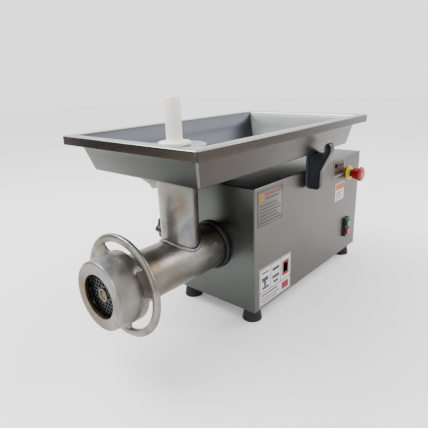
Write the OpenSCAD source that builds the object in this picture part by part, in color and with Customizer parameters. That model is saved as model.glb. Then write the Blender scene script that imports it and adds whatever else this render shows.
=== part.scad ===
/* [Casing] */
// Outside width of the casing
case_w = 202; // [170:1:300]
// Outside depth of the casing, front face to rear face
case_d = 436; // [420:1:560]
// Height of the casing above its feet
case_h = 237; // [226:1:320]
// Thickness of the stainless sheet
sheet_t = 1.5; // [1:0.1:2.5]
// Thickness of the base plate
base_t = 3; // [2:0.5:5]
// Width of the flanges folded inwards at the casing's open edges
flange_in = 13; // [11:0.5:16]

/* [Feet] */
// Height of one rubber foot
foot_h = 28; // [20:1:40]
// Radius of a foot at the ground
foot_r = 19; // [15:0.5:24]
// Radius of a foot where it meets the casing
foot_top_r = 15; // [12:0.5:19]
// Distance from the casing's outside walls to the middle of a foot
foot_inset = 23; // [22:1:45]

/* [Tray] */
// How far the tray rim reaches past each side of the casing
tray_over = 52.5; // [45:0.5:80]
// Outside length of the tray rim
tray_l = 520; // [430:1:630]
// How far the tray rim reaches ahead of the casing's front face
tray_ahead = 190; // [170:1:230]
// Depth from the rim's top to the tray floor
tray_depth = 59; // [48:1:75]
// Height of the tray floor above the casing's top
tray_gap = 38; // [34:1:50]
// Width of the flat rim
rim_w = 18; // [14:0.5:24]
// Height of the rim's turned-down lip
lip_h = 15; // [10:0.5:20]
// Distance from the rim's side edge to the floor's edge
side_inset = 33; // [28:0.5:44]
// Distance from the rim's front edge to the floor's edge
front_inset = 36; // [30:0.5:46]
// Distance from the rim's rear edge to the floor's edge
rear_inset = 26.5; // [24:0.5:46]

/* [Grinding head] */
// Height of the barrel's axis above the ground
barrel_z = 142; // [136:1:150]
// Wall thickness of the barrel
barrel_wall = 5.5; // [4:0.5:8]
// Distance from the casing's front face to the ring nut's front face
head_reach = 254; // [230:1:320]
// Distance from the casing's front face to the throat's axis
throat_ahead = 80; // [74:1:100]
// Bore radius of the throat
throat_bore_r = 29; // [24:0.5:32]
// Wall thickness of the throat at its top
throat_wall = 5; // [4:0.5:6]
// Radius of the spigot that plugs into the drive
spigot_r = 33; // [27:0.5:34]
// Length of the spigot inside the casing
spigot_l = 44; // [36:1:48]

/* [Ring nut and plate] */
// Radius of the grinding plate
plate_r = 41; // [34:0.5:50]
// How much smaller the barrel's bore radius is than the grinding plate's radius
plate_step = 4.5; // [3:0.5:7]
// Thickness of the grinding plate
plate_t = 11.5; // [8:0.5:14]
// Radius of one hole in the grinding plate
plate_hole_r = 2.4; // [1.5:0.1:3]
// Distance between neighbouring holes in the grinding plate
plate_pitch = 7; // [6.5:0.5:9]
// How far the ring nut's lip laps over the plate's edge
plate_lap = 5.5; // [4:0.5:8]
// Thickness of the ring nut's front lip
nut_lip = 7; // [5:0.5:9]
// Wall thickness of the ring nut at its front, over its thread
nut_wall = 6.3; // [4:0.1:9]
// Gap for the fingers between the ring nut and its hand ring
finger_gap = 14.5; // [12:0.5:24]
// Radial width of the hand ring
hand_ring_w = 13; // [9:0.5:14]
// Thickness of the hand ring along the barrel
hand_ring_t = 10; // [8:0.5:14]
// Number of webs between the ring nut and its hand ring
web_count = 3; // [3:1:4]

/* [Knife and worm] */
// Thickness of the knife
knife_t = 12; // [8:0.5:14]
// Side of the square that drives the knife
knife_square = 12; // [10:0.5:13]
// Number of turns of the worm's flight
worm_turns = 4.25; // [3:0.25:5]
// Radius of the worm's core
worm_core_r = 16; // [14:0.5:20]
// Side of the square tang at the worm's rear
tang_side = 19; // [16:0.5:20]

/* [Plunger and guard] */
// Radius of the plunger's grip
grip_r = 13.2; // [11:0.2:16]
// Height of the plunger's top above the tray rim
grip_above_rim = 57; // [45:1:90]
// Gap between the plunger's lower body and the tray's collar
ram_gap = 4.6; // [1:0.1:7]
// How far the plunger's stop flange laps over the edge of the guard's hole
stop_lap = 3.4; // [2:0.1:8]
// Radius of the hand guard above the throat
guard_r = 52; // [46:1:58]
// Height of the hand guard above the tray floor
guard_h = 38; // [28:1:44]

/* [Drive] */
// Module of all four gears
gear_module = 2; // [1.75:0.05:2.1]
// Teeth on each pinion
pinion_teeth = 14; // [12:1:16]
// Teeth on each wheel
wheel_teeth = 40; // [36:1:42]
// Face width of the gears
gear_w = 18; // [12:1:20]
// Wall thickness of the gearbox
gearbox_wall = 8; // [6:0.5:9]

/* [Motor] */
// Outside radius of the motor housing
motor_r = 70; // [64:1:84]
// Wall thickness of the motor housing
motor_wall = 7; // [4:0.5:9]
// Length of the stator and rotor cores
core_l = 100; // [70:5:120]
// Radius of the motor shaft
motor_shaft_r = 10; // [8:0.5:12]

/* [Controls] */
// Distance from the casing's front face to the controls' centre line
controls_y = 378; // [330:1:385]
// Height of the emergency stop's axis above the ground
estop_z = 222; // [200:1:228]
// Radius of the emergency stop's mushroom head
estop_r = 17; // [15:0.5:20]
// Travel of the emergency stop
estop_travel = 4.5; // [3:0.5:6]
// Height of the push-button station's middle above the ground
station_z = 88; // [76:1:120]
// Travel of the start and stop buttons
button_travel = 3; // [2:0.5:4]

/* [Lock knob] */
// Distance from the casing's front face to the locking screw's axis
lock_y = 14; // [12:1:24]
// Radius of the locking knob over its lobes
knob_r = 25; // [20:0.5:30]
// Thickness of the locking knob
knob_t = 18; // [14:0.5:22]
// Gap between the casing's side and the locking knob
knob_gap = 34.5; // [16:0.5:40]

/* [Tray supports] */
// Distance from the casing's front face to the supports' front faces
support_y = 171; // [150:1:220]
// Thickness of each support along the casing
support_t = 16; // [12:0.5:24]

/* [Hidden] */
$fn = 96;

// Clearances
seat_gap = 0.2;
slide_gap = 0.05;
spin_gap = 0.4;
guide_gap = 0.6;
cut = 1;

// Where the machine stands: the origin is under the middle of its outer box
gland_out = 18;
front = (head_reach - case_d - gland_out) / 2;
rear = front + case_d;
case_top = foot_h + case_h;
half_w = case_w / 2;
inner_w = case_w - 2 * sheet_t;
floor_top = foot_h + sheet_t + base_t;

// Screws
screw_r = 2;
screw_head_r = 3.8;
screw_head_h = 2.4;
foot_screw_r = 3;
bolt_r = 2.5;
bolt_head_r = 4;
bolt_head_h = 5;
bolt_bite = 12;

// Tray
tray_w = case_w + 2 * tray_over;
tray_front = front - tray_ahead;
tray_rear = tray_front + tray_l;
tray_floor = case_top + tray_gap;
rim_z = tray_floor + tray_depth;
throat_y = front - throat_ahead;
collar_r = throat_bore_r - spin_gap;
collar_l = 26;
ram_r = collar_r - sheet_t - ram_gap;
guard_hole_r = ram_r + guide_gap;
stop_r = guard_hole_r + stop_lap;

// Head, from its front to its rear
bore_r = plate_r - plate_step;
barrel_r = bore_r + barrel_wall;
outlet_r = plate_r - plate_lap;
nut_front = front - head_reach;
plate_front = nut_front + nut_lip;
plate_back = plate_front + plate_t;
knife_front = plate_back + seat_gap / 2;
knife_back = knife_front + knife_t;
seat_r = plate_r + seat_gap;
seat_back = knife_back + 2;
seat_wall = 7;
thread_r = seat_r + seat_wall;
thread_back = plate_front + 40;
rear_wall_t = 12;
throat_rim_r = throat_bore_r + throat_wall + 7.5;
throat_rim_h = 10;
throat_top = tray_floor - sheet_t - seat_gap;
spigot_end = front + spigot_l;
bush_r = 20;
bush_bore_r = 16;
bush_end = front + 10;

// Ring nut
thread_gap = 0.5;
nut_bore_r = thread_r + thread_gap;
nut_r = nut_bore_r + nut_wall;
nut_flare = 2.5;
nut_rear_r = nut_r + nut_flare;
hand_ring_r = nut_rear_r + finger_gap + hand_ring_w;
nut_body_l = 33;
hand_ring_y = nut_front + 45;
web_half_angle = 24;
web_first_angle = 20;
window_out_r = hand_ring_r - hand_ring_w;
window_r = (window_out_r - nut_rear_r) / 2;
window_mid_r = (window_out_r + nut_rear_r) / 2;

// Worm
worm_r = bore_r - spin_gap;
worm_front = knife_back + seat_gap;
worm_back = front - rear_wall_t - 3.2;
tang_front = front + 12;
tang_l = 28;
stud_tip = plate_front + 1;
stud_r = 7;

// Plunger and guard
guard_t = 2;
guard_top = tray_floor + guard_h + guard_t;
stop_t = 5.5;
grip_top = rim_z + grip_above_rim;
ram_end = barrel_z + barrel_r + 16;
guard_leg_r = 3;
guard_leg_at = guard_r - 7;

// Gear train
gear_pa = 25;
gear_add = 0.9 * gear_module;
gear_ded = 1.15 * gear_module;
tooth_thinning = 0.12;
gear_spread = 0.15;
pinion_pr = gear_module * pinion_teeth / 2;
wheel_pr = gear_module * wheel_teeth / 2;
lay_z = barrel_z + pinion_pr + wheel_pr + gear_spread;
wheel_out_r = wheel_pr + gear_add;
gearbox_in_r = wheel_out_r + 3.5;
gearbox_r = gearbox_in_r + gearbox_wall;
gearbox_front = spigot_end + 6;
bearing_w = 14;
front_wall_t = bearing_w + 4;
stage2_y = gearbox_front + front_wall_t + 5;
web_y = stage2_y + gear_w + 5;
stage1_y = web_y + bearing_w + 5;
cover_y = stage1_y + gear_w + 5;
cover_t = bearing_w + 2;
output_r = 17.5;
output_bearing_r = 31;
output_rear_r = 10;
small_bearing_r = 20;
lay_r = 8.5;
output_nose_r = 21;
output_front = tang_front + 2;
gearbox_bolt_r = (gearbox_in_r + gearbox_r) / 2;

// Motor
motor_front = cover_y + cover_t;
winding_l = 16;
core_y = motor_front + winding_l + 8;
motor_in_r = motor_r - motor_wall;
motor_end = core_y + core_l + winding_l + 8;
shield_t = bearing_w + 2;
rotor_r = 38;
air_gap = 0.6;
stator_in_r = rotor_r + air_gap;
winding_in_r = stator_in_r + 3;
winding_out_r = motor_in_r - 5;
motor_bearing_r = 20;
fan_y = motor_end + shield_t + 4;
fan_t = 12;
fan_r = motor_in_r - 8;

// Controls
controls = front + controls_y;
estop_hole_r = 11;
collar_disc_r = 19;
collar_disc_t = 10;
estop_stem_r = 8;
station_w = 24;
station_h = 46;
station_out = 7;
button_side = 15;
button_pitch = 20;
button_out = 4;

// Locking screw and knob
lock_r = 5;
lock_at = front + lock_y;
lock_tip_x = -(spigot_r + 0.3);
knob_in_x = -(half_w + knob_gap);
knob_out_x = knob_in_x - knob_t;
knob_lobes = 6;
hub_r = spigot_r + 8.5;
hub_flange_r = hub_r + 11;
hub_flange_t = 8;
seal_t = 8.5;
seal_r = barrel_r + 5.7;

// Tray support outline, measured from the casing's side face
support_low = case_top - 35;
support_web = 31;
support_hook_top = tray_floor + 18;
floor_edge_x = tray_w / 2 - side_inset;
hook_gap = 17.5;
support_slot_in = floor_edge_x - half_w + hook_gap;
support_hook_x = support_slot_in + 13;

function span(from, to) = to - from;

// A cylinder or cone along Y
module along_y(r, y0, y1, r_end = undef) {
  end_r = is_undef(r_end) ? r : r_end;
  translate([0, y0, 0]) rotate([-90, 0, 0]) cylinder(h = span(y0, y1), r1 = r, r2 = end_r);
}

// A cylinder along X
module along_x(r, x0, x1) {
  translate([x0, 0, 0]) rotate([0, 90, 0]) cylinder(h = span(x0, x1), r = r);
}

// A tube along Y
module tube_y(r_out, r_in, y0, y1) {
  difference() {
    along_y(r_out, y0, y1);
    along_y(r_in, y0 - cut, y1 + cut);
  }
}

// A flat outline in X and Z, given depth along Y
module outline_y(y0, y1) {
  translate([0, y1, 0]) rotate([90, 0, 0]) linear_extrude(span(y0, y1)) children();
}

// A box from its lowest corner to its highest
module block(a, b) {
  translate(a) cube(b - a);
}

module at_barrel() {
  translate([0, 0, barrel_z]) children();
}

module at_layshaft() {
  translate([0, 0, lay_z]) children();
}

module mirrored_x() {
  children();
  mirror([1, 0, 0]) children();
}

// ---- Gears ----

// Roll angle and polar angle of an involute at radius r
function roll_at(r, rb) = sqrt(max(0, pow(r / rb, 2) - 1)) * 180 / PI;
function polar_at(r, rb) = roll_at(r, rb) - atan(roll_at(r, rb) * PI / 180);

// Half the angle of a tooth at radius r
function half_tooth(r, teeth, rp, rb) =
  90 / teeth - tooth_thinning / 2 / rp * 180 / PI + polar_at(rp, rb) - polar_at(r, rb);

function ray(r, a) = [r * cos(a), r * sin(a)];

// Outline of one tooth, from its root round its tip to its root
function tooth(a, teeth, rp, rb, radii, root) = concat(
  [ray(root, a - half_tooth(radii[0], teeth, rp, rb))],
  [for (r = radii) ray(r, a - half_tooth(r, teeth, rp, rb))],
  [for (i = [len(radii) - 1 : -1 : 0]) ray(radii[i], a + half_tooth(radii[i], teeth, rp, rb))],
  [ray(root, a + half_tooth(radii[0], teeth, rp, rb))]
);

// Spur gear outline with one tooth centred on the angle first
module gear_outline(teeth, first) {
  rp = gear_module * teeth / 2;
  rb = rp * cos(gear_pa);
  ra = rp + gear_add;
  root = rp - gear_ded;
  low = max(rb, root) + 0.01;
  steps = 3;
  radii = [for (i = [0 : steps]) low + (ra - low) * i / steps];
  polygon([for (k = [0 : teeth - 1]) each tooth(first + k * 360 / teeth, teeth, rp, rb, radii, root)]);
}

module gear(teeth, first, y0, width, hole_r) {
  difference() {
    outline_y(y0, y0 + width) gear_outline(teeth, first);
    along_y(hole_r, y0 - cut, y0 + width + cut);
  }
}

// ---- Casing ----

module casing_shell() {
  color([0.62, 0.61, 0.58]) difference() {
    block([-half_w, front, foot_h], [half_w, rear - sheet_t, case_top]);
    block([-inner_w / 2, front + sheet_t, foot_h + sheet_t],
          [inner_w / 2, rear - 2 * sheet_t, case_top - sheet_t]);
    // Open underside, inside its folded flange
    block([-inner_w / 2 + flange_in, front + sheet_t + flange_in, foot_h - cut],
          [inner_w / 2 - flange_in, rear - 2 * sheet_t - flange_in, foot_h + sheet_t + cut]);
    // Open rear, inside its folded flange
    block([-inner_w / 2 + flange_in, rear - 3 * sheet_t, foot_h + sheet_t + flange_in],
          [inner_w / 2 - flange_in, rear, case_top - sheet_t - flange_in]);
    at_barrel() along_y(hub_r + seat_gap, front - cut, front + sheet_t + cut);
    // Locking screw, emergency stop, push-button station
    translate([0, lock_at, barrel_z]) along_x(lock_r + 2, -half_w - cut, -half_w + sheet_t + cut);
    translate([0, controls, estop_z]) along_x(estop_hole_r + seat_gap, half_w - sheet_t - cut, half_w + cut);
    block([half_w - sheet_t - cut, controls - station_w / 2 + 3, station_z - station_h / 2 + 3],
          [half_w + cut, controls + station_w / 2 - 3, station_z + station_h / 2 - 3]);
    mirrored_x() support_holes(screw_r + seat_gap, half_w - sheet_t - cut, half_w + cut);
    for (p = rear_screw_places) translate([p[0], 0, p[1]])
      along_y(screw_r + slide_gap, rear - 3 * sheet_t, rear);
    for (p = base_screw_places) translate([p[0], p[1], foot_h - cut])
      cylinder(h = sheet_t + 2 * cut, r = screw_r + seat_gap);
    foot_holes(foot_screw_r + seat_gap);
  }
}

// Screws sit in the middle of the folded flanges
flange_mid_x = inner_w / 2 - flange_in / 2;
rear_screw_places = [
  for (side = [-1, 1]) for (z = [foot_h + 30, foot_h + case_h / 2, case_top - 30]) [side * flange_mid_x, z]
];
base_screw_places = [
  for (side = [-1, 1]) for (y = [front + case_d * 0.3, front + case_d / 2, front + case_d * 0.7])
    [side * flange_mid_x, y]
];
foot_places = [
  for (side = [-1, 1]) for (y = [front + foot_inset, rear - foot_inset]) [side * (half_w - foot_inset), y]
];

module foot_holes(r) {
  for (p = foot_places) translate([p[0], p[1], foot_h - cut]) cylinder(h = sheet_t + base_t + 2 * cut, r = r);
}

module rear_cover() {
  slot_l = 60;
  slot_h = 5;
  slot_step = 12;
  slot_rows = 7;
  color([0.6, 0.6, 0.58]) difference() {
    block([-half_w, rear - sheet_t, foot_h], [half_w, rear, case_top]);
    for (p = rear_screw_places) translate([p[0], 0, p[1]])
      along_y(screw_r + seat_gap, rear - sheet_t - cut, rear + cut);
    for (side = [-1, 1]) for (i = [0 : slot_rows - 1])
      translate([side * 42 - slot_l / 2, rear - sheet_t - cut, barrel_z - 10 + i * slot_step])
        cube([slot_l, sheet_t + 2 * cut, slot_h]);
    translate([gland_x, 0, gland_z]) along_y(gland_thread_r + seat_gap, rear - sheet_t - cut, rear + cut);
  }
}

// Pan-head screw standing on its head: the shank points up and the head's underside is at height 0
screw_l = 8;
module pan_screw() {
  translate([0, 0, -0.5]) cylinder(h = screw_l, r = screw_r);
  difference() {
    translate([0, 0, -screw_head_h]) cylinder(h = screw_head_h, r1 = screw_head_r * 0.75, r2 = screw_head_r);
    for (a = [0, 90]) rotate([0, 0, a]) translate([-2.2, -0.5, -screw_head_h - 1]) cube([4.4, 1, 2]);
  }
}

module casing_screws() {
  color([0.75, 0.75, 0.76]) {
    for (p = rear_screw_places) translate([p[0], rear, p[1]]) rotate([90, 0, 0]) pan_screw();
    for (p = base_screw_places) translate([p[0], p[1], foot_h]) pan_screw();
  }
}

module base_plate() {
  edge = seat_gap;
  color([0.5, 0.5, 0.5]) difference() {
    block([-inner_w / 2 + edge, front + sheet_t + edge, foot_h + sheet_t],
          [inner_w / 2 - edge, rear - 2 * sheet_t - edge, floor_top]);
    for (p = base_screw_places) translate([p[0], p[1], foot_h]) cylinder(h = 20, r = screw_r + slide_gap);
    foot_holes(foot_screw_r + slide_gap);
  }
}

// Rubber foot with a counterbore for its screw
foot_bore_r = 7;
foot_bore_h = 16;
module foot(i) {
  color([0.08, 0.08, 0.08]) translate([foot_places[i][0], foot_places[i][1], 0]) difference() {
    rotate_extrude() polygon([
      [0, 0], [foot_r - 1.5, 0], [foot_r, 1.5], [foot_top_r, foot_h], [0, foot_h]
    ]);
    translate([0, 0, -cut]) cylinder(h = foot_bore_h + cut, r = foot_bore_r);
    cylinder(h = foot_h + cut, r = foot_screw_r + slide_gap);
  }
}

module foot_front_left() foot(0);
module foot_rear_left() foot(1);
module foot_front_right() foot(2);
module foot_rear_right() foot(3);

module foot_screws() {
  color([0.7, 0.7, 0.72]) for (p = foot_places) translate([p[0], p[1], 0]) {
    translate([0, 0, foot_bore_h - 4]) cylinder(h = 4, r = foot_bore_r - 1, $fn = 6);
    translate([0, 0, foot_bore_h - 0.5]) cylinder(h = floor_top - foot_bore_h + 5, r = foot_screw_r);
  }
}

// ---- Drive hub and gearbox ----

hub_bolt_at = hub_r + 5.5;
hub_bolt_angles = [45, 135, 225, 315];

module hub_socket() {
  hub_front = front + sheet_t + seat_gap;
  color([0.66, 0.67, 0.68]) at_barrel() difference() {
    union() {
      along_y(hub_r, front, gearbox_front);
      along_y(hub_flange_r, hub_front, hub_front + hub_flange_t);
      along_y(hub_flange_r, gearbox_front - hub_flange_t, gearbox_front);
      translate([0, lock_at, 0]) along_x(11, -hub_flange_r, -spigot_r - 3);
    }
    along_y(spigot_r + slide_gap, front - cut, spigot_end + cut);
    along_y(output_nose_r + 3, spigot_end, gearbox_front + cut);
    translate([0, lock_at, 0]) along_x(lock_r + slide_gap, -hub_flange_r - cut, -spigot_r + cut);
    for (a = hub_bolt_angles) rotate([0, a, 0]) translate([hub_bolt_at, 0, 0])
      along_y(bolt_r + seat_gap, gearbox_front - hub_flange_t - cut, gearbox_front + cut);
  }
}

module seal_ring() {
  color([0.05, 0.05, 0.05]) at_barrel() translate([0, front, 0]) rotate([90, 0, 0]) rotate_extrude() polygon([
    [barrel_r + spin_gap, 0], [seal_r, 0], [seal_r, seal_t - 2.5], [seal_r - 2.5, seal_t],
    [barrel_r + spin_gap + 1, seal_t], [barrel_r + spin_gap, seal_t - 1]
  ]);
}

// Two circles and the block between them, about the output and layshaft axes
module gearbox_blank(r, y0, y1) {
  at_barrel() along_y(r, y0, y1);
  at_layshaft() along_y(r, y0, y1);
  block([-r, y0, barrel_z], [r, y1, lay_z]);
}

gearbox_bolt_places = [
  for (a = [200, 270, 340]) [0, 0, barrel_z] + gearbox_bolt_r * [cos(a), 0, sin(a)],
  for (a = [20, 90, 160]) [0, 0, lay_z] + gearbox_bolt_r * [cos(a), 0, sin(a)]
];
gearbox_leg = 10;

module gearbox_case() {
  color([0.55, 0.56, 0.58]) difference() {
    union() {
      gearbox_blank(gearbox_r, gearbox_front, cover_y);
      block([-gearbox_r, gearbox_front, floor_top], [gearbox_r, cover_y, floor_top + gearbox_leg]);
      mirrored_x() block([gearbox_r - gearbox_leg, gearbox_front, floor_top], [gearbox_r, cover_y, barrel_z]);
    }
    gearbox_blank(gearbox_in_r, gearbox_front + front_wall_t, web_y);
    gearbox_blank(gearbox_in_r, web_y + bearing_w, cover_y + cut);
    at_barrel() along_y(output_bearing_r, gearbox_front + 4, gearbox_front + front_wall_t + cut);
    at_barrel() along_y(output_r + 8, gearbox_front - cut, gearbox_front + 5);
    at_barrel() along_y(small_bearing_r, web_y - cut, web_y + bearing_w + cut);
    at_layshaft() along_y(small_bearing_r, gearbox_front + 4, gearbox_front + front_wall_t + cut);
    at_layshaft() along_y(small_bearing_r - 2, web_y - cut, web_y + bearing_w + cut);
    for (p = gearbox_bolt_places) translate(p) along_y(bolt_r + slide_gap, cover_y - bolt_bite - 2, cover_y + cut);
    at_barrel() for (a = hub_bolt_angles) rotate([0, a, 0]) translate([hub_bolt_at, 0, 0])
      along_y(bolt_r + slide_gap, gearbox_front - cut, gearbox_front + bolt_bite + 1);
  }
}

module gearbox_cover() {
  color([0.58, 0.59, 0.61]) difference() {
    union() {
      gearbox_blank(gearbox_r, cover_y, cover_y + cover_t / 2);
      at_barrel() along_y(gearbox_r, cover_y, cover_y + cover_t);
      at_layshaft() along_y(small_bearing_r + 6, cover_y, cover_y + cover_t);
    }
    at_barrel() along_y(motor_bearing_r, cover_y + 2, cover_y + cover_t + cut);
    at_barrel() along_y(motor_shaft_r + 4, cover_y - cut, cover_y + 3);
    at_layshaft() along_y(small_bearing_r, cover_y - cut, cover_y + bearing_w);
    for (p = gearbox_bolt_places) translate(p) along_y(bolt_r + seat_gap, cover_y - cut, cover_y + cover_t + cut);
  }
}

// Cap screws: four hold the hub to the gearbox, six hold the gearbox's cover
module drive_bolts() {
  color([0.3, 0.3, 0.32]) {
    at_barrel() for (a = hub_bolt_angles) rotate([0, a, 0]) translate([hub_bolt_at, 0, 0]) {
      along_y(bolt_r, gearbox_front - hub_flange_t - 1, gearbox_front + bolt_bite);
      along_y(bolt_head_r, gearbox_front - hub_flange_t - bolt_head_h, gearbox_front - hub_flange_t);
    }
    for (i = [0 : len(gearbox_bolt_places) - 1]) {
      seat = i < 3 ? cover_y + cover_t : cover_y + cover_t / 2;
      translate(gearbox_bolt_places[i]) {
        along_y(bolt_r, cover_y - bolt_bite, seat + 1);
        along_y(bolt_head_r, seat, seat + bolt_head_h);
      }
    }
  }
}

module output_shaft() {
  socket = tang_side + 2 * spin_gap;
  color([0.6, 0.6, 0.62]) at_barrel() difference() {
    union() {
      along_y(output_nose_r, output_front, gearbox_front - 1);
      along_y(output_r, gearbox_front - 2, stage2_y + gear_w);
      along_y(output_r + 4, gearbox_front + front_wall_t + 0.5, stage2_y);
      along_y(output_rear_r, stage2_y + gear_w - 1, web_y + bearing_w - 1);
    }
    block([-socket / 2, output_front - cut, -socket / 2], [socket / 2, tang_front + tang_l + 2, socket / 2]);
  }
}

module output_gear() {
  color([0.5, 0.5, 0.52]) at_barrel() gear(wheel_teeth, 90 + 180 / wheel_teeth, stage2_y, gear_w, output_r);
}

module layshaft() {
  color([0.6, 0.6, 0.62]) at_layshaft() {
    along_y(lay_r, gearbox_front + 5, cover_y + bearing_w - 1);
    outline_y(stage2_y, stage2_y + gear_w) gear_outline(pinion_teeth, -90);
  }
}

module layshaft_gear() {
  color([0.5, 0.5, 0.52]) at_layshaft() gear(wheel_teeth, -90 + 180 / wheel_teeth, stage1_y, gear_w, lay_r);
}

module motor_pinion() {
  color([0.62, 0.62, 0.64]) at_barrel() gear(pinion_teeth, 90, stage1_y, gear_w, motor_shaft_r - 2);
}

// Plain ring standing for a ball bearing with its seals
module bearing(r_out, r_in, y0, width) {
  tube_y(r_out, r_in, y0, y0 + width);
}

module output_bearings() {
  color([0.72, 0.72, 0.74]) at_barrel() {
    bearing(output_bearing_r, output_r + slide_gap, gearbox_front + 4, bearing_w);
    bearing(small_bearing_r, output_rear_r + slide_gap, web_y, bearing_w - 1);
  }
}

module oil_seal() {
  color([0.15, 0.1, 0.1]) at_barrel()
    tube_y(output_r + 8, output_r + slide_gap, gearbox_front, gearbox_front + 4);
}

module layshaft_bearings() {
  color([0.72, 0.72, 0.74]) at_layshaft() {
    bearing(small_bearing_r, lay_r + slide_gap, gearbox_front + 4, bearing_w);
    bearing(small_bearing_r, lay_r + slide_gap, cover_y, bearing_w);
  }
}

// ---- Motor ----

module motor_shaft() {
  color([0.6, 0.6, 0.62]) at_barrel() {
    along_y(motor_shaft_r - 2, stage1_y - 1, cover_y + 1);
    along_y(motor_shaft_r, cover_y, motor_end + shield_t - 1);
    along_y(motor_shaft_r - 2, motor_end + shield_t - 2, fan_y + fan_t);
  }
}

module rotor_core() {
  color([0.45, 0.45, 0.47]) at_barrel() {
    tube_y(rotor_r, motor_shaft_r, core_y, core_y + core_l);
    tube_y(rotor_r - 4, motor_shaft_r + 9, core_y - 5, core_y);
    tube_y(rotor_r - 4, motor_shaft_r + 9, core_y + core_l, core_y + core_l + 5);
  }
}

module motor_fan() {
  blades = 8;
  color([0.1, 0.1, 0.12]) at_barrel() difference() {
    union() {
      along_y(15, fan_y, fan_y + fan_t);
      along_y(fan_r, fan_y, fan_y + 2);
      for (a = [0 : blades - 1]) rotate([0, a * 360 / blades, 0])
        block([12, fan_y, -1], [fan_r - 1, fan_y + fan_t, 1]);
    }
    along_y(motor_shaft_r - 2, fan_y - cut, fan_y + fan_t + cut);
  }
}

module stator_core() {
  color([0.42, 0.42, 0.45]) at_barrel() tube_y(motor_in_r, stator_in_r, core_y, core_y + core_l);
}

module stator_windings() {
  color([0.72, 0.4, 0.2]) at_barrel() {
    tube_y(winding_out_r, winding_in_r, core_y - winding_l, core_y);
    tube_y(winding_out_r, winding_in_r, core_y + core_l, core_y + core_l + winding_l);
  }
}

module motor_housing() {
  fins = 16;
  color([0.25, 0.27, 0.3]) at_barrel() difference() {
    union() {
      along_y(motor_r - 3, motor_front, motor_end);
      for (a = [0 : fins - 1]) rotate([0, (a + 0.5) * 360 / fins, 0])
        block([motor_r - 5, motor_front + 6, -1.5], [motor_r, motor_end - 6, 1.5]);
    }
    along_y(motor_in_r, motor_front - cut, motor_end + cut);
  }
}

module motor_end_shield() {
  color([0.5, 0.51, 0.53]) at_barrel() difference() {
    along_y(motor_r - 3, motor_end, motor_end + shield_t);
    along_y(motor_bearing_r, motor_end - cut, motor_end + bearing_w);
    along_y(motor_shaft_r + 1, motor_end, motor_end + shield_t + cut);
  }
}

module motor_bearings() {
  color([0.72, 0.72, 0.74]) at_barrel() {
    bearing(motor_bearing_r, motor_shaft_r + slide_gap, cover_y + 2, bearing_w);
    bearing(motor_bearing_r, motor_shaft_r + slide_gap, motor_end, bearing_w);
  }
}

// Saddle that carries the motor on the base plate
module motor_cradle() {
  cradle_w = 100;
  cradle_l = 60;
  cradle_y = core_y + core_l / 2 - cradle_l / 2;
  color([0.45, 0.46, 0.48]) difference() {
    block([-cradle_w / 2, cradle_y, floor_top], [cradle_w / 2, cradle_y + cradle_l, barrel_z - 20]);
    at_barrel() along_y(motor_r + seat_gap, cradle_y - cut, cradle_y + cradle_l + cut);
    block([-cradle_w / 2 + 6, cradle_y - cut, floor_top + 5],
          [cradle_w / 2 - 6, cradle_y + cradle_l + cut, barrel_z - motor_r - 5]);
  }
}

// ---- Electrical parts ----

module capacitor() {
  can_r = 20;
  can_l = 90;
  can_x = -(inner_w / 2 - can_r - 3);
  can_y = gearbox_front + 30;
  color([0.85, 0.85, 0.83]) translate([can_x, 0, floor_top + can_r]) {
    along_y(can_r, can_y, can_y + can_l);
    along_y(can_r - 8, can_y + can_l - 1, can_y + can_l + 10);
  }
}

contactor_w = 52;
contactor_l = 38;
contactor_h = 70;
module contactor() {
  x0 = gland_x + 12;
  y0 = rear - 3 * sheet_t - flange_in - contactor_l;
  color([0.12, 0.12, 0.13]) difference() {
    block([x0, y0, floor_top], [x0 + contactor_w, y0 + contactor_l, floor_top + contactor_h]);
    for (i = [0 : 3]) block([x0 + 5 + i * 12, y0 - cut, floor_top + contactor_h - 14],
                            [x0 + 12 + i * 12, y0 + 10, floor_top + contactor_h + cut]);
  }
}

gland_x = -60;
gland_z = foot_h + 27;
gland_thread_r = 8;
gland_bore_r = 4.8;
module cable_gland() {
  nut_t = 5;
  color([0.06, 0.06, 0.06]) translate([gland_x, 0, gland_z]) difference() {
    union() {
      along_y(gland_thread_r, rear - sheet_t - nut_t - 2, rear + 2);
      along_y(11, rear - sheet_t - nut_t, rear - sheet_t);
      along_y(11.5, rear, rear + 7);
      along_y(10, rear + 6, rear + gland_out, 8);
    }
    along_y(gland_bore_r, rear - 20, rear + gland_out + cut);
  }
}

// ---- Emergency stop and push-buttons ----

estop_head_in = half_w + collar_disc_t + estop_travel + 3.5;
module at_estop() {
  translate([0, controls, estop_z]) children();
}

module estop_collar() {
  color([0.85, 0.72, 0.05]) at_estop() difference() {
    union() {
      along_x(collar_disc_r, half_w, half_w + 3);
      along_x(collar_disc_r - 4, half_w, half_w + collar_disc_t);
    }
    along_x(estop_stem_r + spin_gap, half_w - cut, half_w + collar_disc_t + cut);
  }
}

module estop_contacts() {
  deep = 34;
  color([0.1, 0.1, 0.1]) at_estop() difference() {
    union() {
      along_x(estop_hole_r, half_w - 12, half_w);
      block([half_w - sheet_t - deep, -15, -20], [half_w - sheet_t - 8, 15, 20]);
    }
    along_x(estop_stem_r + spin_gap, half_w - sheet_t - 26, half_w + cut);
  }
}

module estop_stem() {
  color([0.3, 0.3, 0.3]) at_estop() along_x(estop_stem_r, half_w - 18, estop_head_in + 8);
}

module estop_head() {
  color([0.75, 0.05, 0.05]) at_estop() translate([estop_head_in, 0, 0]) rotate([0, 90, 0]) difference() {
    rotate_extrude() polygon([
      [0, 0], [estop_r - 4.5, 0], [estop_r - 3.5, 7], [estop_r, 9], [estop_r, 12],
      [estop_r - 3, 15.5], [estop_r - 8, 17], [0, 17]
    ]);
    translate([0, 0, -cut]) cylinder(h = 8 + cut + slide_gap, r = estop_stem_r + slide_gap);
  }
}

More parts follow.
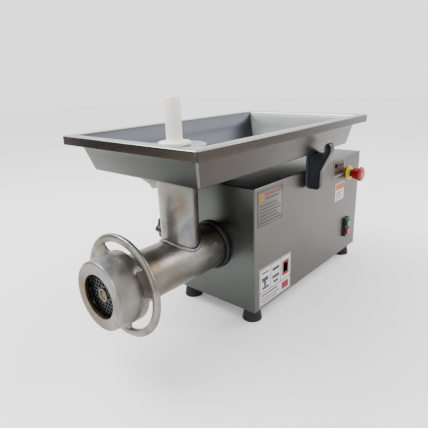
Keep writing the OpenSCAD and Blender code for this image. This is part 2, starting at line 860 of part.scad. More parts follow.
module button_pocket(z, gap) {
  side = button_side / 2 + gap;
  block([half_w - 20, controls - side, z - side], [half_w + 30, controls + side, z + side]);
}

module button_station() {
  flange_gap = 3 + seat_gap;
  color([0.07, 0.07, 0.08]) difference() {
    union() {
      block([half_w, controls - station_w / 2, station_z - station_h / 2],
            [half_w + station_out, controls + station_w / 2, station_z + station_h / 2]);
      block([half_w - 9, controls - station_w / 2 + flange_gap, station_z - station_h / 2 + flange_gap],
            [half_w + cut, controls + station_w / 2 - flange_gap, station_z + station_h / 2 - flange_gap]);
    }
    for (side = [-1, 1]) button_pocket(station_z + side * button_pitch / 2, spin_gap);
  }
}

module station_contacts() {
  color([0.2, 0.2, 0.22]) block([half_w - 38, controls - 14, station_z - 20],
                                [half_w - 16, controls + 14, station_z + 20]);
}

module push_button(z) {
  half = button_side / 2;
  out = half_w + station_out + button_out;
  block([half_w - 16 + button_travel + 1, controls - half, z - half], [out - 1, controls + half, z + half]);
  block([out - 2, controls - half + 1, z - half + 1], [out, controls + half - 1, z + half - 1]);
}

module start_button() {
  color([0.05, 0.55, 0.2]) push_button(station_z + button_pitch / 2);
}

module stop_button() {
  color([0.75, 0.08, 0.06]) push_button(station_z - button_pitch / 2);
}

// ---- Tray supports, locking knob and plates ----

support_screw_z = [support_low + 9, case_top - 9];
module support_holes(r, x0, x1) {
  for (z = support_screw_z) translate([0, front + support_y + support_t / 2, z]) along_x(r, x0, x1);
}

// Moulded arm: it stands against the casing, carries the floor's edge and hooks up outside the tray wall
module tray_support() {
  x = half_w;
  saddle = tray_floor - sheet_t - seat_gap;
  color([0.05, 0.06, 0.07]) difference() {
    outline_y(front + support_y, front + support_y + support_t) polygon([
      [x, support_low + 6], [x + 6, support_low], [x + support_web - 5, support_low],
      [x + support_web, support_low + 5], [x + support_web, case_top + 1],
      [x + support_hook_x - 3, saddle - 3], [x + support_hook_x, saddle + 4],
      [x + support_hook_x, support_hook_top - 5], [x + support_hook_x - 4, support_hook_top],
      [x + support_slot_in + 4, support_hook_top], [x + support_slot_in, support_hook_top - 5],
      [x + support_slot_in, saddle + 5], [x + support_slot_in - 3, saddle], [x, saddle]
    ]);
    support_holes(screw_r + slide_gap, x - cut, x + 12);
  }
}

module tray_support_right() tray_support();
module tray_support_left() mirror([1, 0, 0]) tray_support();

module support_screws() {
  color([0.75, 0.75, 0.76]) mirrored_x() {
    support_holes(screw_r, half_w - sheet_t - 1, half_w + 11);
    support_holes(screw_head_r, half_w - sheet_t - screw_head_h, half_w - sheet_t);
  }
}

module lock_screw() {
  color([0.7, 0.7, 0.72]) translate([0, lock_at, barrel_z])
    along_x(lock_r, knob_in_x - knob_t + 4, lock_tip_x);
}

module lock_knob() {
  lobe_r = 6.5;
  color([0.06, 0.06, 0.06]) translate([0, lock_at, barrel_z]) difference() {
    union() {
      along_x(knob_r - 3.5, knob_out_x, knob_in_x);
      along_x(11, knob_in_x - 1, knob_in_x + 8);
      for (i = [0 : knob_lobes - 1]) rotate([i * 360 / knob_lobes, 0, 0])
        translate([0, knob_r - lobe_r, 0]) along_x(lobe_r, knob_out_x, knob_in_x);
    }
    along_x(lock_r + slide_gap, knob_out_x + 4 - seat_gap, knob_in_x + 9);
  }
}

// Plain plates on the right side: [distance from the front face, lowest, length, height]
plate_places = [
  [8, 164, 80, 66],
  [14, 4, 109, 78],
  [294, 196, 58, 38],
  [310, 138, 46, 42]
];
side_plate_t = 0.8;
module side_plates() {
  color([0.75, 0.75, 0.72]) for (p = plate_places)
    block([half_w, front + p[0], foot_h + p[1]], [half_w + side_plate_t, front + p[0] + p[2], foot_h + p[1] + p[3]]);
}

// ---- Grinding head ----

key_w = 6;
key_l = 9;

// Barrel with its threaded collar at the front, its spigot at the rear and the throat's mouth on top
module head_barrel() {
  color([0.72, 0.71, 0.68]) difference() {
    at_barrel() union() {
      along_y(barrel_r, thread_back - 4, front - 1);
      along_y(thread_r, plate_front + 1, thread_back);
      along_y(thread_r, thread_back - 0.01, thread_back + 6, barrel_r);
      along_y(spigot_r, front - 2, spigot_end);
    }
    at_barrel() {
      along_y(seat_r, nut_front, seat_back);
      along_y(bore_r, seat_back - cut, front - rear_wall_t);
      along_y(bush_r, front - rear_wall_t - cut, bush_end);
      along_y(output_nose_r + 3, bush_end, spigot_end + cut);
    }
    throat_bore();
    block([-key_w / 2, plate_front - cut, barrel_z - seat_r - 3], [key_w / 2, plate_front + key_l, barrel_z - seat_r + 4]);
  }
}

module throat_bore() {
  translate([0, throat_y, barrel_z]) cylinder(h = throat_top - barrel_z + cut, r = throat_bore_r);
}

// Cast lug that runs out under the tray floor on the left: [distance in from its end, depth] along its underside
lug_t = 14;
lug_l = 46;
lug_under = [[0, 25], [22, 33], [28, 40], [38, 37], [lug_l + throat_rim_r - throat_bore_r - 1, 37]];
module throat_lug() {
  end_x = -(throat_rim_r + lug_l);
  outline_y(throat_y - lug_t / 2, throat_y + lug_t / 2) polygon([
    [-throat_bore_r - 1, throat_top], [end_x, throat_top], for (p = lug_under) [end_x + p[0], throat_top - p[1]]
  ]);
}

// Throat tube with a rim at its top, saddled onto the barrel
module head_throat() {
  low_r = throat_bore_r + throat_wall - 1.5;
  color([0.72, 0.71, 0.68]) difference() {
    union() {
      translate([0, throat_y, barrel_z])
        cylinder(h = throat_top - barrel_z, r1 = low_r, r2 = throat_bore_r + throat_wall);
      translate([0, throat_y, throat_top - throat_rim_h]) cylinder(h = throat_rim_h, r = throat_rim_r);
      throat_lug();
    }
    at_barrel() along_y(barrel_r, throat_y - 2 * barrel_r, throat_y + 2 * barrel_r);
    throat_bore();
  }
}

module worm_bush() {
  color([0.7, 0.55, 0.3]) at_barrel() tube_y(bush_r, bush_bore_r + slide_gap, front - rear_wall_t, bush_end);
}

module plate_key() {
  color([0.7, 0.7, 0.7]) block([-key_w / 2, plate_front + 1, barrel_z - seat_r - 3],
                               [key_w / 2, plate_front + key_l, barrel_z - seat_r + 3]);
}

// Hole centres on a triangular grid between the plate's middle and its rim
plate_rows = ceil(plate_r / plate_pitch) + 1;
hole_places = [
  for (j = [-plate_rows : plate_rows]) for (i = [-plate_rows : plate_rows])
    let (x = (i + (j % 2 == 0 ? 0 : 0.5)) * plate_pitch, z = j * plate_pitch * sqrt(3) / 2)
      if (norm([x, z]) > stud_r + plate_hole_r + 3 && norm([x, z]) < outlet_r - plate_hole_r - 1) [x, z]
];

module grinder_plate() {
  color([0.35, 0.36, 0.38]) at_barrel() difference() {
    along_y(plate_r, plate_front, plate_back);
    along_y(outlet_r - 1, plate_front - cut, plate_front + 2);
    along_y(stud_r + slide_gap, plate_front - cut, plate_back + cut);
    for (p = hole_places) translate([p[0], 0, p[1]]) along_y(plate_hole_r, plate_front, plate_back + cut, $fn = 24);
    block([-key_w / 2 - seat_gap, plate_front - cut, -plate_r - cut],
          [key_w / 2 + seat_gap, plate_back + cut, -seat_r + 3 + seat_gap]);
  }
}

hub_l = span(nut_front, hand_ring_y + hand_ring_t / 2);

// Children drawn along +Z go along the barrel, from the nut's front face backwards
module from_nut_front() {
  at_barrel() translate([0, nut_front, 0]) rotate([-90, 0, 0]) children();
}

module ring_nut() {
  color([0.7, 0.69, 0.66]) from_nut_front() rotate_extrude() polygon([
    [outlet_r, 0], [nut_r - 2, 0], [nut_r, 2], [nut_rear_r, nut_body_l], [nut_rear_r, hub_l],
    [nut_bore_r, hub_l], [nut_bore_r, nut_lip], [outlet_r, nut_lip]
  ]);
}

// Round-edged ring and the webs that carry it on the nut
module hand_ring() {
  band = hand_ring_w / 2;
  thick = hand_ring_t / 2;
  edge = 3;
  color([0.7, 0.69, 0.66]) from_nut_front() {
    translate([0, 0, hub_l - thick]) rotate_extrude() translate([hand_ring_r - band, 0]) polygon([
      [-band, -thick + edge], [-band + edge, -thick], [band - edge, -thick], [band, -thick + edge],
      [band, thick - edge], [band - edge, thick], [-band + edge, thick], [-band, thick - edge]
    ]);
    for (k = [0 : web_count - 1]) rotate([0, 0, -web_first_angle - k * 360 / web_count]) web();
  }
}

// One web: a sector between the nut and its hand ring, with hollowed sides
module web() {
  reach = hand_ring_r - 4;
  difference() {
    intersection() {
      translate([0, 0, hub_l - hand_ring_t + 1]) cylinder(h = hand_ring_t - 2, r = reach);
      linear_extrude(hub_l + cut) polygon([
        [0, 0], 2 * reach * [cos(web_half_angle), sin(web_half_angle)],
        [2 * reach, 0], 2 * reach * [cos(web_half_angle), -sin(web_half_angle)]
      ]);
    }
    translate([0, 0, -cut]) cylinder(h = hub_l + 2 * cut, r = nut_rear_r);
    for (side = [-1, 1]) rotate([0, 0, side * (web_half_angle + 2)]) translate([window_mid_r, 0, -cut])
      cylinder(h = hub_l + 3 * cut, r = window_r);
  }
}

// ---- Worm, knife and plunger ----

// Half angles of the flight at its root and at its tip, seen along the axis
flight_root_angle = 28;
flight_tip_angle = 15;
slices_per_turn = 24;
core_step = 30;

// Core and flight as one slice across the axis
module worm_slice() {
  tip = [for (a = [-flight_tip_angle, 0, flight_tip_angle]) ray(worm_r, a)];
  core = [for (a = [flight_root_angle : core_step : 360 - flight_root_angle]) ray(worm_core_r, a)];
  polygon(concat(tip, core, [ray(worm_core_r, 360 - flight_root_angle)]));
}

module worm() {
  half = tang_side / 2;
  square_half = knife_square / 2;
  length = span(worm_front, worm_back);
  color([0.66, 0.66, 0.66]) at_barrel() {
    translate([0, worm_front, 0]) rotate([-90, 0, 0])
      linear_extrude(length, twist = -360 * worm_turns, slices = slices_per_turn * worm_turns, $fn = 1) worm_slice();
    along_y(bush_bore_r, worm_back - 1, bush_end + 1);
    block([-half, bush_end, -half], [half, tang_front + tang_l, half]);
    block([-square_half, knife_front, -square_half], [square_half, worm_front + 1, square_half]);
    along_y(stud_r, stud_tip, knife_front);
  }
}

// Four-armed knife
module knife() {
  arm_w = 15;
  hub = 15;
  y0 = knife_front;
  y1 = y0 + knife_t;
  hole = knife_square / 2 + 0.1;
  color([0.6, 0.61, 0.63]) at_barrel() difference() {
    union() {
      along_y(hub, y0, y1);
      for (a = [0 : 3]) rotate([0, a * 90, 0]) outline_y(y0, y1) polygon([
        [4, -arm_w / 2], [plate_r - 7, -arm_w / 2 + 6], [plate_r - 6, arm_w / 2 - 1], [4, arm_w / 2]
      ]);
    }
    block([-hole, y0 - cut, -hole], [hole, y1 + cut, hole]);
  }
}

// ---- Tray, guard and plunger ----

// Solid between two level rectangles, each given as [[x0, y0], [x1, y1]]
module frustum(low, z0, high, z1) {
  corners = function (r, z) [[r[0][0], r[0][1], z], [r[1][0], r[0][1], z], [r[1][0], r[1][1], z], [r[0][0], r[1][1], z]];
  polyhedron(
    concat(corners(low, z0), corners(high, z1)),
    [[0, 1, 2, 3], [7, 6, 5, 4], [0, 4, 5, 1], [1, 5, 6, 2], [2, 6, 7, 3], [3, 7, 4, 0]]
  );
}

function grown(r, by) = [r[0] - [by, by], r[1] + [by, by]];

module tray() {
  rim = [[-tray_w / 2, tray_front], [tray_w / 2, tray_rear]];
  mouth = grown(rim, -rim_w);
  bed = [[-floor_edge_x, tray_front + front_inset], [floor_edge_x, tray_rear - rear_inset]];
  color([0.66, 0.66, 0.64]) difference() {
    union() {
      frustum(grown(bed, sheet_t), tray_floor - sheet_t, grown(mouth, sheet_t), rim_z - sheet_t / 2);
      block([rim[0][0], rim[0][1], rim_z - sheet_t], [rim[1][0], rim[1][1], rim_z]);
      difference() {
        block([rim[0][0], rim[0][1], rim_z - lip_h], [rim[1][0], rim[1][1], rim_z]);
        block([rim[0][0] + sheet_t, rim[0][1] + sheet_t, rim_z - lip_h - cut],
              [rim[1][0] - sheet_t, rim[1][1] - sheet_t, rim_z + cut]);
      }
      translate([0, throat_y, tray_floor - collar_l]) cylinder(h = collar_l, r = collar_r);
    }
    frustum(bed, tray_floor, mouth, rim_z);
    block([mouth[0][0], mouth[0][1], rim_z - 0.01], [mouth[1][0], mouth[1][1], rim_z + cut]);
    translate([0, throat_y, tray_floor - collar_l - cut]) cylinder(h = collar_l + 2 * cut, r = collar_r - sheet_t);
  }
}

module hand_guard() {
  color([0.7, 0.7, 0.7]) translate([0, throat_y, 0]) {
    difference() {
      translate([0, 0, tray_floor + guard_h]) cylinder(h = guard_t, r = guard_r);
      cylinder(h = guard_top + cut, r = guard_hole_r);
    }
    for (a = [60, 180, 300]) rotate([0, 0, a]) translate([guard_leg_at, 0, tray_floor])
      cylinder(h = guard_h + 0.5, r = guard_leg_r);
  }
}

module plunger() {
  low = guard_top + seat_gap;
  color([0.92, 0.9, 0.88]) translate([0, throat_y, 0]) rotate_extrude() polygon([
    [0, ram_end], [ram_r - 2, ram_end], [ram_r, ram_end + 2], [ram_r, low], [stop_r, low],
    [stop_r, low + stop_t], [grip_r, low + stop_t], [grip_r, grip_top - 2], [grip_r - 2, grip_top], [0, grip_top]
  ]);
}

casing_shell();
rear_cover();
base_plate();
casing_screws();
foot_front_left();
foot_front_right();
foot_rear_left();
foot_rear_right();
foot_screws();
hub_socket();
seal_ring();
gearbox_case();
gearbox_cover();
drive_bolts();
output_shaft();
output_gear();
output_bearings();
oil_seal();
layshaft();
layshaft_gear();
layshaft_bearings();
motor_shaft();
motor_pinion();
rotor_core();
motor_fan();
stator_core();
stator_windings();
motor_housing();
motor_end_shield();
motor_bearings();
motor_cradle();
capacitor();
contactor();
cable_gland();
estop_collar();
estop_contacts();
estop_stem();
estop_head();
button_station();
station_contacts();
start_button();
stop_button();
tray_support_right();
tray_support_left();
support_screws();
lock_knob();
lock_screw();
side_plates();
head_barrel();
head_throat();
worm_bush();
grinder_plate();
plate_key();
ring_nut();
hand_ring();
worm();
knife();
tray();
hand_guard();
plunger();
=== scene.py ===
import math

import bpy
from mathutils import Matrix, Vector


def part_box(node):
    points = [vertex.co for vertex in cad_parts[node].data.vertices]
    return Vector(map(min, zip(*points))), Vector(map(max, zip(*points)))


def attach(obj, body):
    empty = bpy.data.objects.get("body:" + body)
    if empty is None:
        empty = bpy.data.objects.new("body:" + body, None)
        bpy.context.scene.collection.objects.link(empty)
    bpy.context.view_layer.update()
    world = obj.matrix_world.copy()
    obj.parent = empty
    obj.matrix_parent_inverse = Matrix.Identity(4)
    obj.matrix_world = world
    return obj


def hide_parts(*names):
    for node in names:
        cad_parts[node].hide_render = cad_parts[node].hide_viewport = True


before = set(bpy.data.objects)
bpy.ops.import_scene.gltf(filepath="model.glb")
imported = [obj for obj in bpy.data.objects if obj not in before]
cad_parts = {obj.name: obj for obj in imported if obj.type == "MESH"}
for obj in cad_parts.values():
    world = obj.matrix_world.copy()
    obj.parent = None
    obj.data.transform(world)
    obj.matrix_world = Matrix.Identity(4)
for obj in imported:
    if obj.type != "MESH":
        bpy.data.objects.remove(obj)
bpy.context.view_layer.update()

# ---- Camera ---------------------------------------------------------------------------------
# It stands ahead of the machine's outlet, to the right and above the tray, and looks down a
# little, with a slight tilt.
camera_place = Vector((0.4880, -0.6381, 0.4422))
yaw, pitch, tilt = math.radians(41.7), math.radians(18.27), math.radians(-2.06)
back = Vector((math.sin(yaw) * math.cos(pitch), -math.cos(yaw) * math.cos(pitch), math.sin(pitch)))
level_right = Vector((math.cos(yaw), math.sin(yaw), 0))
level_up = back.cross(level_right)
right = math.cos(tilt) * level_right + math.sin(tilt) * level_up
up = -math.sin(tilt) * level_right + math.cos(tilt) * level_up
bpy.ops.object.camera_add()
camera = bpy.context.object
camera.name = "camera"
camera.data.lens = 34.38
camera.data.sensor_width = 36
facing = Matrix((right, up, back)).transposed().to_4x4()
camera.matrix_world = Matrix.Translation(camera_place) @ facing
bpy.context.scene.camera = camera

# ---- Studio ---------------------------------------------------------------------------------
# A plain pale floor and a white surround. Soft lamps stand above on the left, at the right
# rear and in front. Dark cards to the left and right give the metal something dark to mirror.


def plain_material(name, colour, roughness):
    """A material with one shader whose colour and roughness are set on its sockets."""
    made = bpy.data.materials.new(name)
    made.use_nodes = True
    shader = made.node_tree.nodes["Principled BSDF"]
    shader.inputs["Base Color"].default_value = (*colour, 1)
    shader.inputs["Roughness"].default_value = roughness
    return made


bpy.ops.object.select_all(action="DESELECT")
bpy.ops.mesh.primitive_plane_add(size=14)
floor = bpy.context.object
floor.name = "floor"
floor.data.materials.append(plain_material("floor_paper", (0.93, 0.93, 0.93), 0.9))

world = bpy.context.scene.world or bpy.data.worlds.new("studio")
bpy.context.scene.world = world
world.use_nodes = True
world.node_tree.nodes["Background"].inputs["Color"].default_value = (1.0, 1.0, 1.0, 1)
world.node_tree.nodes["Background"].inputs["Strength"].default_value = 2.0


def soft_lamp(name, place, target, size, power):
    """A square area lamp that faces the target."""
    bpy.ops.object.light_add(type="AREA", location=place)
    lamp = bpy.context.object
    lamp.name = name
    lamp.data.size = size
    lamp.data.energy = power
    lamp.rotation_euler = (Vector(target) - Vector(place)).to_track_quat("-Z", "Y").to_euler()


soft_lamp("lamp_over", (-0.9, -0.6, 1.7), (0, 0, 0.2), 1.2, 44)
soft_lamp("lamp_rear", (1.3, 1.4, 1.3), (0, 0, 0.25), 1.0, 26)
soft_lamp("lamp_front", (0.4, -1.9, 0.9), (0, -0.1, 0.2), 0.5, 9)


def dark_card(name, place, width, height):
    """A dark upright screen that faces the machine. The camera doesn't see it."""
    bpy.ops.mesh.primitive_plane_add(size=1, location=place)
    card = bpy.context.object
    card.name = name
    card.scale = (width, height, 1)
    towards = Vector((0, 0, place[2])) - Vector(place)
    card.rotation_euler = towards.to_track_quat("Z", "Y").to_euler()
    card.data.materials.append(plain_material(name + "_cloth", (0.17, 0.15, 0.14), 0.9))
    card.visible_camera = False


dark_card("card_left", (-1.5, -1.2, 0.75), 1.3, 1.5)
dark_card("card_right", (1.7, -0.9, 0.75), 0.9, 1.5)

# ---- Casing ---------------------------------------------------------------------------------
# A box folded from 1.5 mm brushed stainless sheet, open underneath and at the rear. The
# barrel enters through a round hole in its front, and the switches sit in its right side.
MM = 0.001


def deselect():
    if bpy.context.object and bpy.context.object.mode == "EDIT":
        bpy.ops.object.mode_set(mode="OBJECT")
    bpy.ops.object.select_all(action="DESELECT")
    bpy.context.tool_settings.mesh_select_mode = (True, False, False)


def settle(piece):
    """Puts a piece's place into its mesh, so that its object sits at the origin."""
    deselect()
    piece.select_set(True)
    bpy.context.view_layer.objects.active = piece
    bpy.ops.object.transform_apply(location=True, rotation=True, scale=True)
    return piece


def pick(piece, mode, wanted):
    """Selects the vertices, edges or faces of a piece that wanted() says yes to."""
    bpy.context.view_layer.objects.active = piece
    bpy.ops.object.mode_set(mode="EDIT")
    bpy.context.tool_settings.mesh_select_mode = (mode == "VERT", mode == "EDGE", mode == "FACE")
    bpy.ops.mesh.select_all(action="DESELECT")
    bpy.ops.object.mode_set(mode="OBJECT")
    mesh = piece.data
    group = {"VERT": mesh.vertices, "EDGE": mesh.edges, "FACE": mesh.polygons}[mode]
    for item in group:
        item.select = bool(wanted(item))
    bpy.ops.object.mode_set(mode="EDIT")


def ends(piece, edge):
    return [piece.data.vertices[i].co for i in edge.vertices]


def box_piece(name, low, high):
    """A box between two corners given in mm."""
    deselect()
    low, high = Vector(low) * MM, Vector(high) * MM
    bpy.ops.mesh.primitive_cube_add(size=1, location=(low + high) / 2)
    piece = bpy.context.object
    piece.name = name
    piece.scale = high - low
    return settle(piece)


def modify(piece, kind, **settings):
    """Adds a modifier and applies it."""
    deselect()
    piece.select_set(True)
    bpy.context.view_layer.objects.active = piece
    added = piece.modifiers.new(kind.lower(), kind)
    for name, value in settings.items():
        setattr(added, name, value)
    bpy.ops.object.modifier_apply(modifier=added.name)
    return piece


def smooth(piece, degrees=35):
    deselect()
    piece.select_set(True)
    bpy.context.view_layer.objects.active = piece
    bpy.ops.object.shade_smooth_by_angle(angle=math.radians(degrees))
    return piece


def cut_away(piece, tool):
    """Cuts the tool's shape out of the piece and removes the tool."""
    modify(piece, "BOOLEAN", operation="DIFFERENCE", object=tool, solver="EXACT")
    bpy.data.objects.remove(tool)
    return piece


def rod(name, centre, axis, radius, length, corners=64):
    """A round bar about a point, along axis, in mm. It's a cutting tool or a start for a piece."""
    deselect()
    bpy.ops.mesh.primitive_cylinder_add(vertices=corners, radius=radius * MM, depth=length * MM,
                                        location=Vector(centre) * MM)
    piece = bpy.context.object
    piece.name = name
    piece.rotation_mode = "QUATERNION"
    piece.rotation_quaternion = Vector(axis).to_track_quat("Z", "Y")
    return settle(piece)


def coloured(name, nodes_made, **sockets):
    """A material; nodes_made(tree, shader) adds its pattern nodes, sockets are plain values."""
    made = bpy.data.materials.new(name)
    made.use_nodes = True
    shader = made.node_tree.nodes["Principled BSDF"]
    for socket, value in sockets.items():
        shader.inputs[socket.replace("_", " ")].default_value = value
    nodes_made(made.node_tree, shader)
    return made


def noise(tree, scale, stretch=(1, 1, 1), detail=4.0, roughness=0.55, distortion=0.0):
    """Noise on object coordinates, drawn out along an axis by a small stretch value."""
    place = tree.nodes.new("ShaderNodeTexCoord")
    turn = tree.nodes.new("ShaderNodeMapping")
    turn.inputs["Scale"].default_value = stretch
    made = tree.nodes.new("ShaderNodeTexNoise")
    made.inputs["Scale"].default_value = scale
    made.inputs["Detail"].default_value = detail
    made.inputs["Roughness"].default_value = roughness
    made.inputs["Distortion"].default_value = distortion
    tree.links.new(place.outputs["Object"], turn.inputs["Vector"])
    tree.links.new(turn.outputs["Vector"], made.inputs["Vector"])
    return made.outputs["Fac"]


def ramp(tree, source, stops):
    """Colours or greys between stops of (position, colour)."""
    made = tree.nodes.new("ShaderNodeValToRGB")
    line = made.color_ramp
    while len(line.elements) < len(stops):
        line.elements.new(0.5)
    for element, (position, colour) in zip(line.elements, stops):
        element.position = position
        element.color = (*colour, 1) if len(colour) == 3 else (colour[0],) * 3 + (1,)
    tree.links.new(source, made.inputs["Fac"])
    return made.outputs["Color"]


def tinted(tree, shader, source, stops):
    """Takes the shader's colour from source, through the stops."""
    tree.links.new(ramp(tree, source, stops), shader.inputs["Base Color"])


def roughened(tree, shader, source, low, high):
    """Takes the shader's roughness from source, between low and high."""
    tree.links.new(ramp(tree, source, [(0.3, (low,)), (0.7, (high,))]), shader.inputs["Roughness"])


def bumped(tree, shader, height, strength, distance):
    """Raises or dents the finish by height; distance is in metres."""
    made = tree.nodes.new("ShaderNodeBump")
    made.inputs["Strength"].default_value = strength
    made.inputs["Distance"].default_value = distance
    tree.links.new(height, made.inputs["Height"])
    tree.links.new(made.outputs["Normal"], shader.inputs["Normal"])


def brushed_steel(name, along, dark, light, rough_low, rough_high):
    """Stainless sheet with its grain along one axis, faint cloudy stains and hairline scratches."""
    stretch = {"X": (3, 220, 220), "Y": (220, 3, 220), "Z": (220, 220, 3)}[along]

    def pattern(tree, shader):
        grain = noise(tree, 5.0, stretch, 3.0, 0.6)
        cloud = noise(tree, 9.0, (1, 1, 1), 3.0, 0.5)
        mix = tree.nodes.new("ShaderNodeMath")
        mix.operation = "MULTIPLY_ADD"
        mix.inputs[1].default_value = 0.45
        tree.links.new(grain, mix.inputs[0])
        share = tree.nodes.new("ShaderNodeMath")
        share.operation = "MULTIPLY"
        share.inputs[1].default_value = 0.55
        tree.links.new(cloud, share.inputs[0])
        tree.links.new(share.outputs[0], mix.inputs[2])
        tinted(tree, shader, mix.outputs[0], [(0.3, dark), (0.7, light)])
        roughened(tree, shader, mix.outputs[0], rough_low, rough_high)
        bumped(tree, shader, grain, 0.05, 0.0003)

    return coloured(name, pattern, Metallic=1.0, Anisotropic=0.4)


case_low, case_high = (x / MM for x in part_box("casing_shell"))
case_low.y, case_high.y = round(case_low.y, 2), round(case_high.y, 2)
casing = box_piece("casing", case_low, case_high)
pick(casing, "FACE", lambda face: face.normal.z < -0.9 or face.normal.y > 0.9)
bpy.ops.mesh.delete(type="FACE")
bpy.ops.object.mode_set(mode="OBJECT")


def outer_fold(edge):
    a, b = ends(casing, edge)
    open_rear = a.y > 0 and b.y > 0
    open_foot = a.z < 0.1 and b.z < 0.1
    return not (open_rear or open_foot)


fold_radius, sheet = 0.0024, 0.0015
pick(casing, "EDGE", outer_fold)
bpy.ops.mesh.bevel(offset=fold_radius, segments=5, affect="EDGES")
bpy.ops.object.mode_set(mode="OBJECT")
modify(casing, "SOLIDIFY", thickness=sheet, offset=-1)
barrel_axis = 142
casing_front = case_low.y
lock_y = casing_front + 14
hub_hole_r, lock_hole_r = 41.7, 7
cut_away(casing, rod("hub_hole", (0, casing_front, barrel_axis), (0, 1, 0), hub_hole_r, 20))
cut_away(casing, rod("lock_hole", (case_low.x, lock_y, barrel_axis), (1, 0, 0), lock_hole_r, 20))
smooth(casing)

# Sides and front are the same brushed sheet. The front's copy is painted darker than the sides':
# painted shade.
steel_side = brushed_steel("casing_grain_lengthwise", "Y",
                           (0.088, 0.081, 0.074), (0.124, 0.116, 0.107), 0.30, 0.40)
steel_front_painted_shade = brushed_steel("casing_grain_crosswise_painted_shade", "X",
                            (0.060, 0.065, 0.061), (0.084, 0.089, 0.084), 0.26, 0.36)
casing.data.materials.append(steel_side)
casing.data.materials.append(steel_front_painted_shade)
# Faces that look forward or back take the darker copy, the painted shade.
for face in casing.data.polygons:
    face.material_index = 1 if abs(face.normal.y) > 0.7 else 0
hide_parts("casing_shell")
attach(casing, "machine")

# ---- Rear cover, base plate and screws ------------------------------------------------------
# Flat stainless plates: one with two rows of vent slots closes the rear, the other the
# underside. Small cross-headed screws hold them, and bigger ones hold the feet.


def copy_of(node, name, dissolve=True):
    """A copy of a CAD node's mesh with its loose triangles joined up."""
    deselect()
    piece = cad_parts[node].copy()
    piece.data = piece.data.copy()
    piece.parent = None
    for key in list(piece.keys()):
        del piece[key]
    piece.name = name
    piece.data.materials.clear()
    bpy.context.scene.collection.objects.link(piece)
    piece.select_set(True)
    bpy.context.view_layer.objects.active = piece
    bpy.ops.object.mode_set(mode="EDIT")
    bpy.ops.mesh.select_all(action="SELECT")
    bpy.ops.mesh.remove_doubles(threshold=0.00001)
    if dissolve:
        bpy.ops.mesh.dissolve_limited(angle_limit=math.radians(0.5))
    bpy.ops.object.mode_set(mode="OBJECT")
    return piece


def soften_edges(piece, width, steps=2, degrees=40):
    """Rounds every edge sharper than the given angle, and smooths what is left."""
    modify(piece, "BEVEL", width=width * MM, segments=steps, limit_method="ANGLE",
           angle_limit=math.radians(degrees), use_clamp_overlap=True)
    return smooth(piece, degrees)


def fitted(piece, body, slot_name, material, *nodes):
    """Gives a piece its material, the CAD nodes that it stands for and its body. slot_name is not
    used.
    """
    piece.data.materials.append(material)
    if nodes:
        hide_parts(*nodes)
    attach(piece, body)
    return piece


cover_steel = brushed_steel("cover_grain_upright", "Z",
                            (0.13, 0.13, 0.125), (0.18, 0.18, 0.17), 0.22, 0.34)
fitted(soften_edges(copy_of("rear_cover", "rear_panel"), 0.3),
       "machine", "casing_steel", cover_steel, "rear_cover")


def zinc_pattern(tree, shader):
    mottle = noise(tree, 900.0, (1, 1, 1), 2.0)
    tinted(tree, shader, mottle, [(0.3, (0.26, 0.26, 0.27)), (0.7, (0.40, 0.40, 0.41))])
    roughened(tree, shader, mottle, 0.16, 0.30)


def machined_pattern(tree, shader):
    lines = noise(tree, 12.0, (40, 260, 40), 2.0)
    tinted(tree, shader, lines, [(0.3, (0.32, 0.32, 0.33)), (0.7, (0.52, 0.52, 0.53))])
    roughened(tree, shader, lines, 0.24, 0.40)
    bumped(tree, shader, lines, 0.1, 0.0003)


zinc = coloured("zinc_plated_steel", zinc_pattern, Metallic=1.0)
machined = coloured("machined_steel", machined_pattern, Metallic=1.0)
for node in ("casing_screws", "foot_screws", "support_screws"):
    fitted(smooth(copy_of(node, node + "_made")), "machine", "bright_steel", zinc, node)
fitted(soften_edges(copy_of("base_plate", "base_panel"), 0.4),
       "machine", "plain_steel", machined, "base_plate")

# ---- Feet -----------------------------------------------------------------------------------
# Black rubber cones, wider at the ground. Each is held by a screw that sits in a counterbore
# underneath it.


def turned(name, outline, origin=(0, 0, 0), axis="Y", steps=96):
    """A turned piece. outline is a closed run of (radius, distance along the axis) in mm."""
    deselect()
    along = {"X": Vector((1, 0, 0)), "Y": Vector((0, 1, 0)), "Z": Vector((0, 0, 1))}[axis]
    outward = Vector((0, 0, 1)) if axis != "Z" else Vector((1, 0, 0))
    origin = Vector(origin) * MM
    points = [origin + outward * r * MM + along * d * MM for r, d in outline]
    bpy.ops.mesh.primitive_plane_add(size=0.001, location=points[0])
    piece = settle(bpy.context.object)
    piece.name = name
    bpy.ops.object.mode_set(mode="EDIT")
    bpy.ops.mesh.select_all(action="SELECT")
    bpy.ops.mesh.merge(type="CENTER")
    for here, there in zip(points, points[1:] + points[:1]):
        bpy.ops.mesh.extrude_vertices_move(TRANSFORM_OT_translate={"value": there - here})
    bpy.ops.mesh.select_all(action="SELECT")
    bpy.ops.mesh.remove_doubles(threshold=0.000002)
    bpy.ops.mesh.select_all(action="SELECT")
    bpy.ops.mesh.spin(steps=steps, angle=2 * math.pi, center=origin, axis=along)
    bpy.ops.mesh.select_all(action="SELECT")
    bpy.ops.mesh.remove_doubles(threshold=0.000002)
    bpy.ops.mesh.dissolve_degenerate(threshold=0.000002)
    bpy.ops.mesh.select_all(action="SELECT")
    bpy.ops.mesh.normals_make_consistent(inside=False)
    bpy.ops.object.mode_set(mode="OBJECT")
    return smooth(piece, 38)


def eased(outline, radius):
    """The same closed outline with its corners rounded, apart from those on the axis."""
    made = []
    count, steps = len(outline), 4
    for i, (r, d) in enumerate(outline):
        before, here, after = (Vector(outline[(i + k) % count]) for k in (-1, 0, 1))
        a, b = before - here, after - here
        if r < 0.01 or a.length < 1e-6 or b.length < 1e-6:
            made.append((r, d))
            continue
        reach = min(radius, a.length * 0.45, b.length * 0.45)
        p, q = here + a.normalized() * reach, here + b.normalized() * reach
        for k in range(steps + 1):
            t = k / steps
            v = (1 - t) ** 2 * p + 2 * t * (1 - t) * here + t ** 2 * q
            made.append((v.x, v.y))
    return made


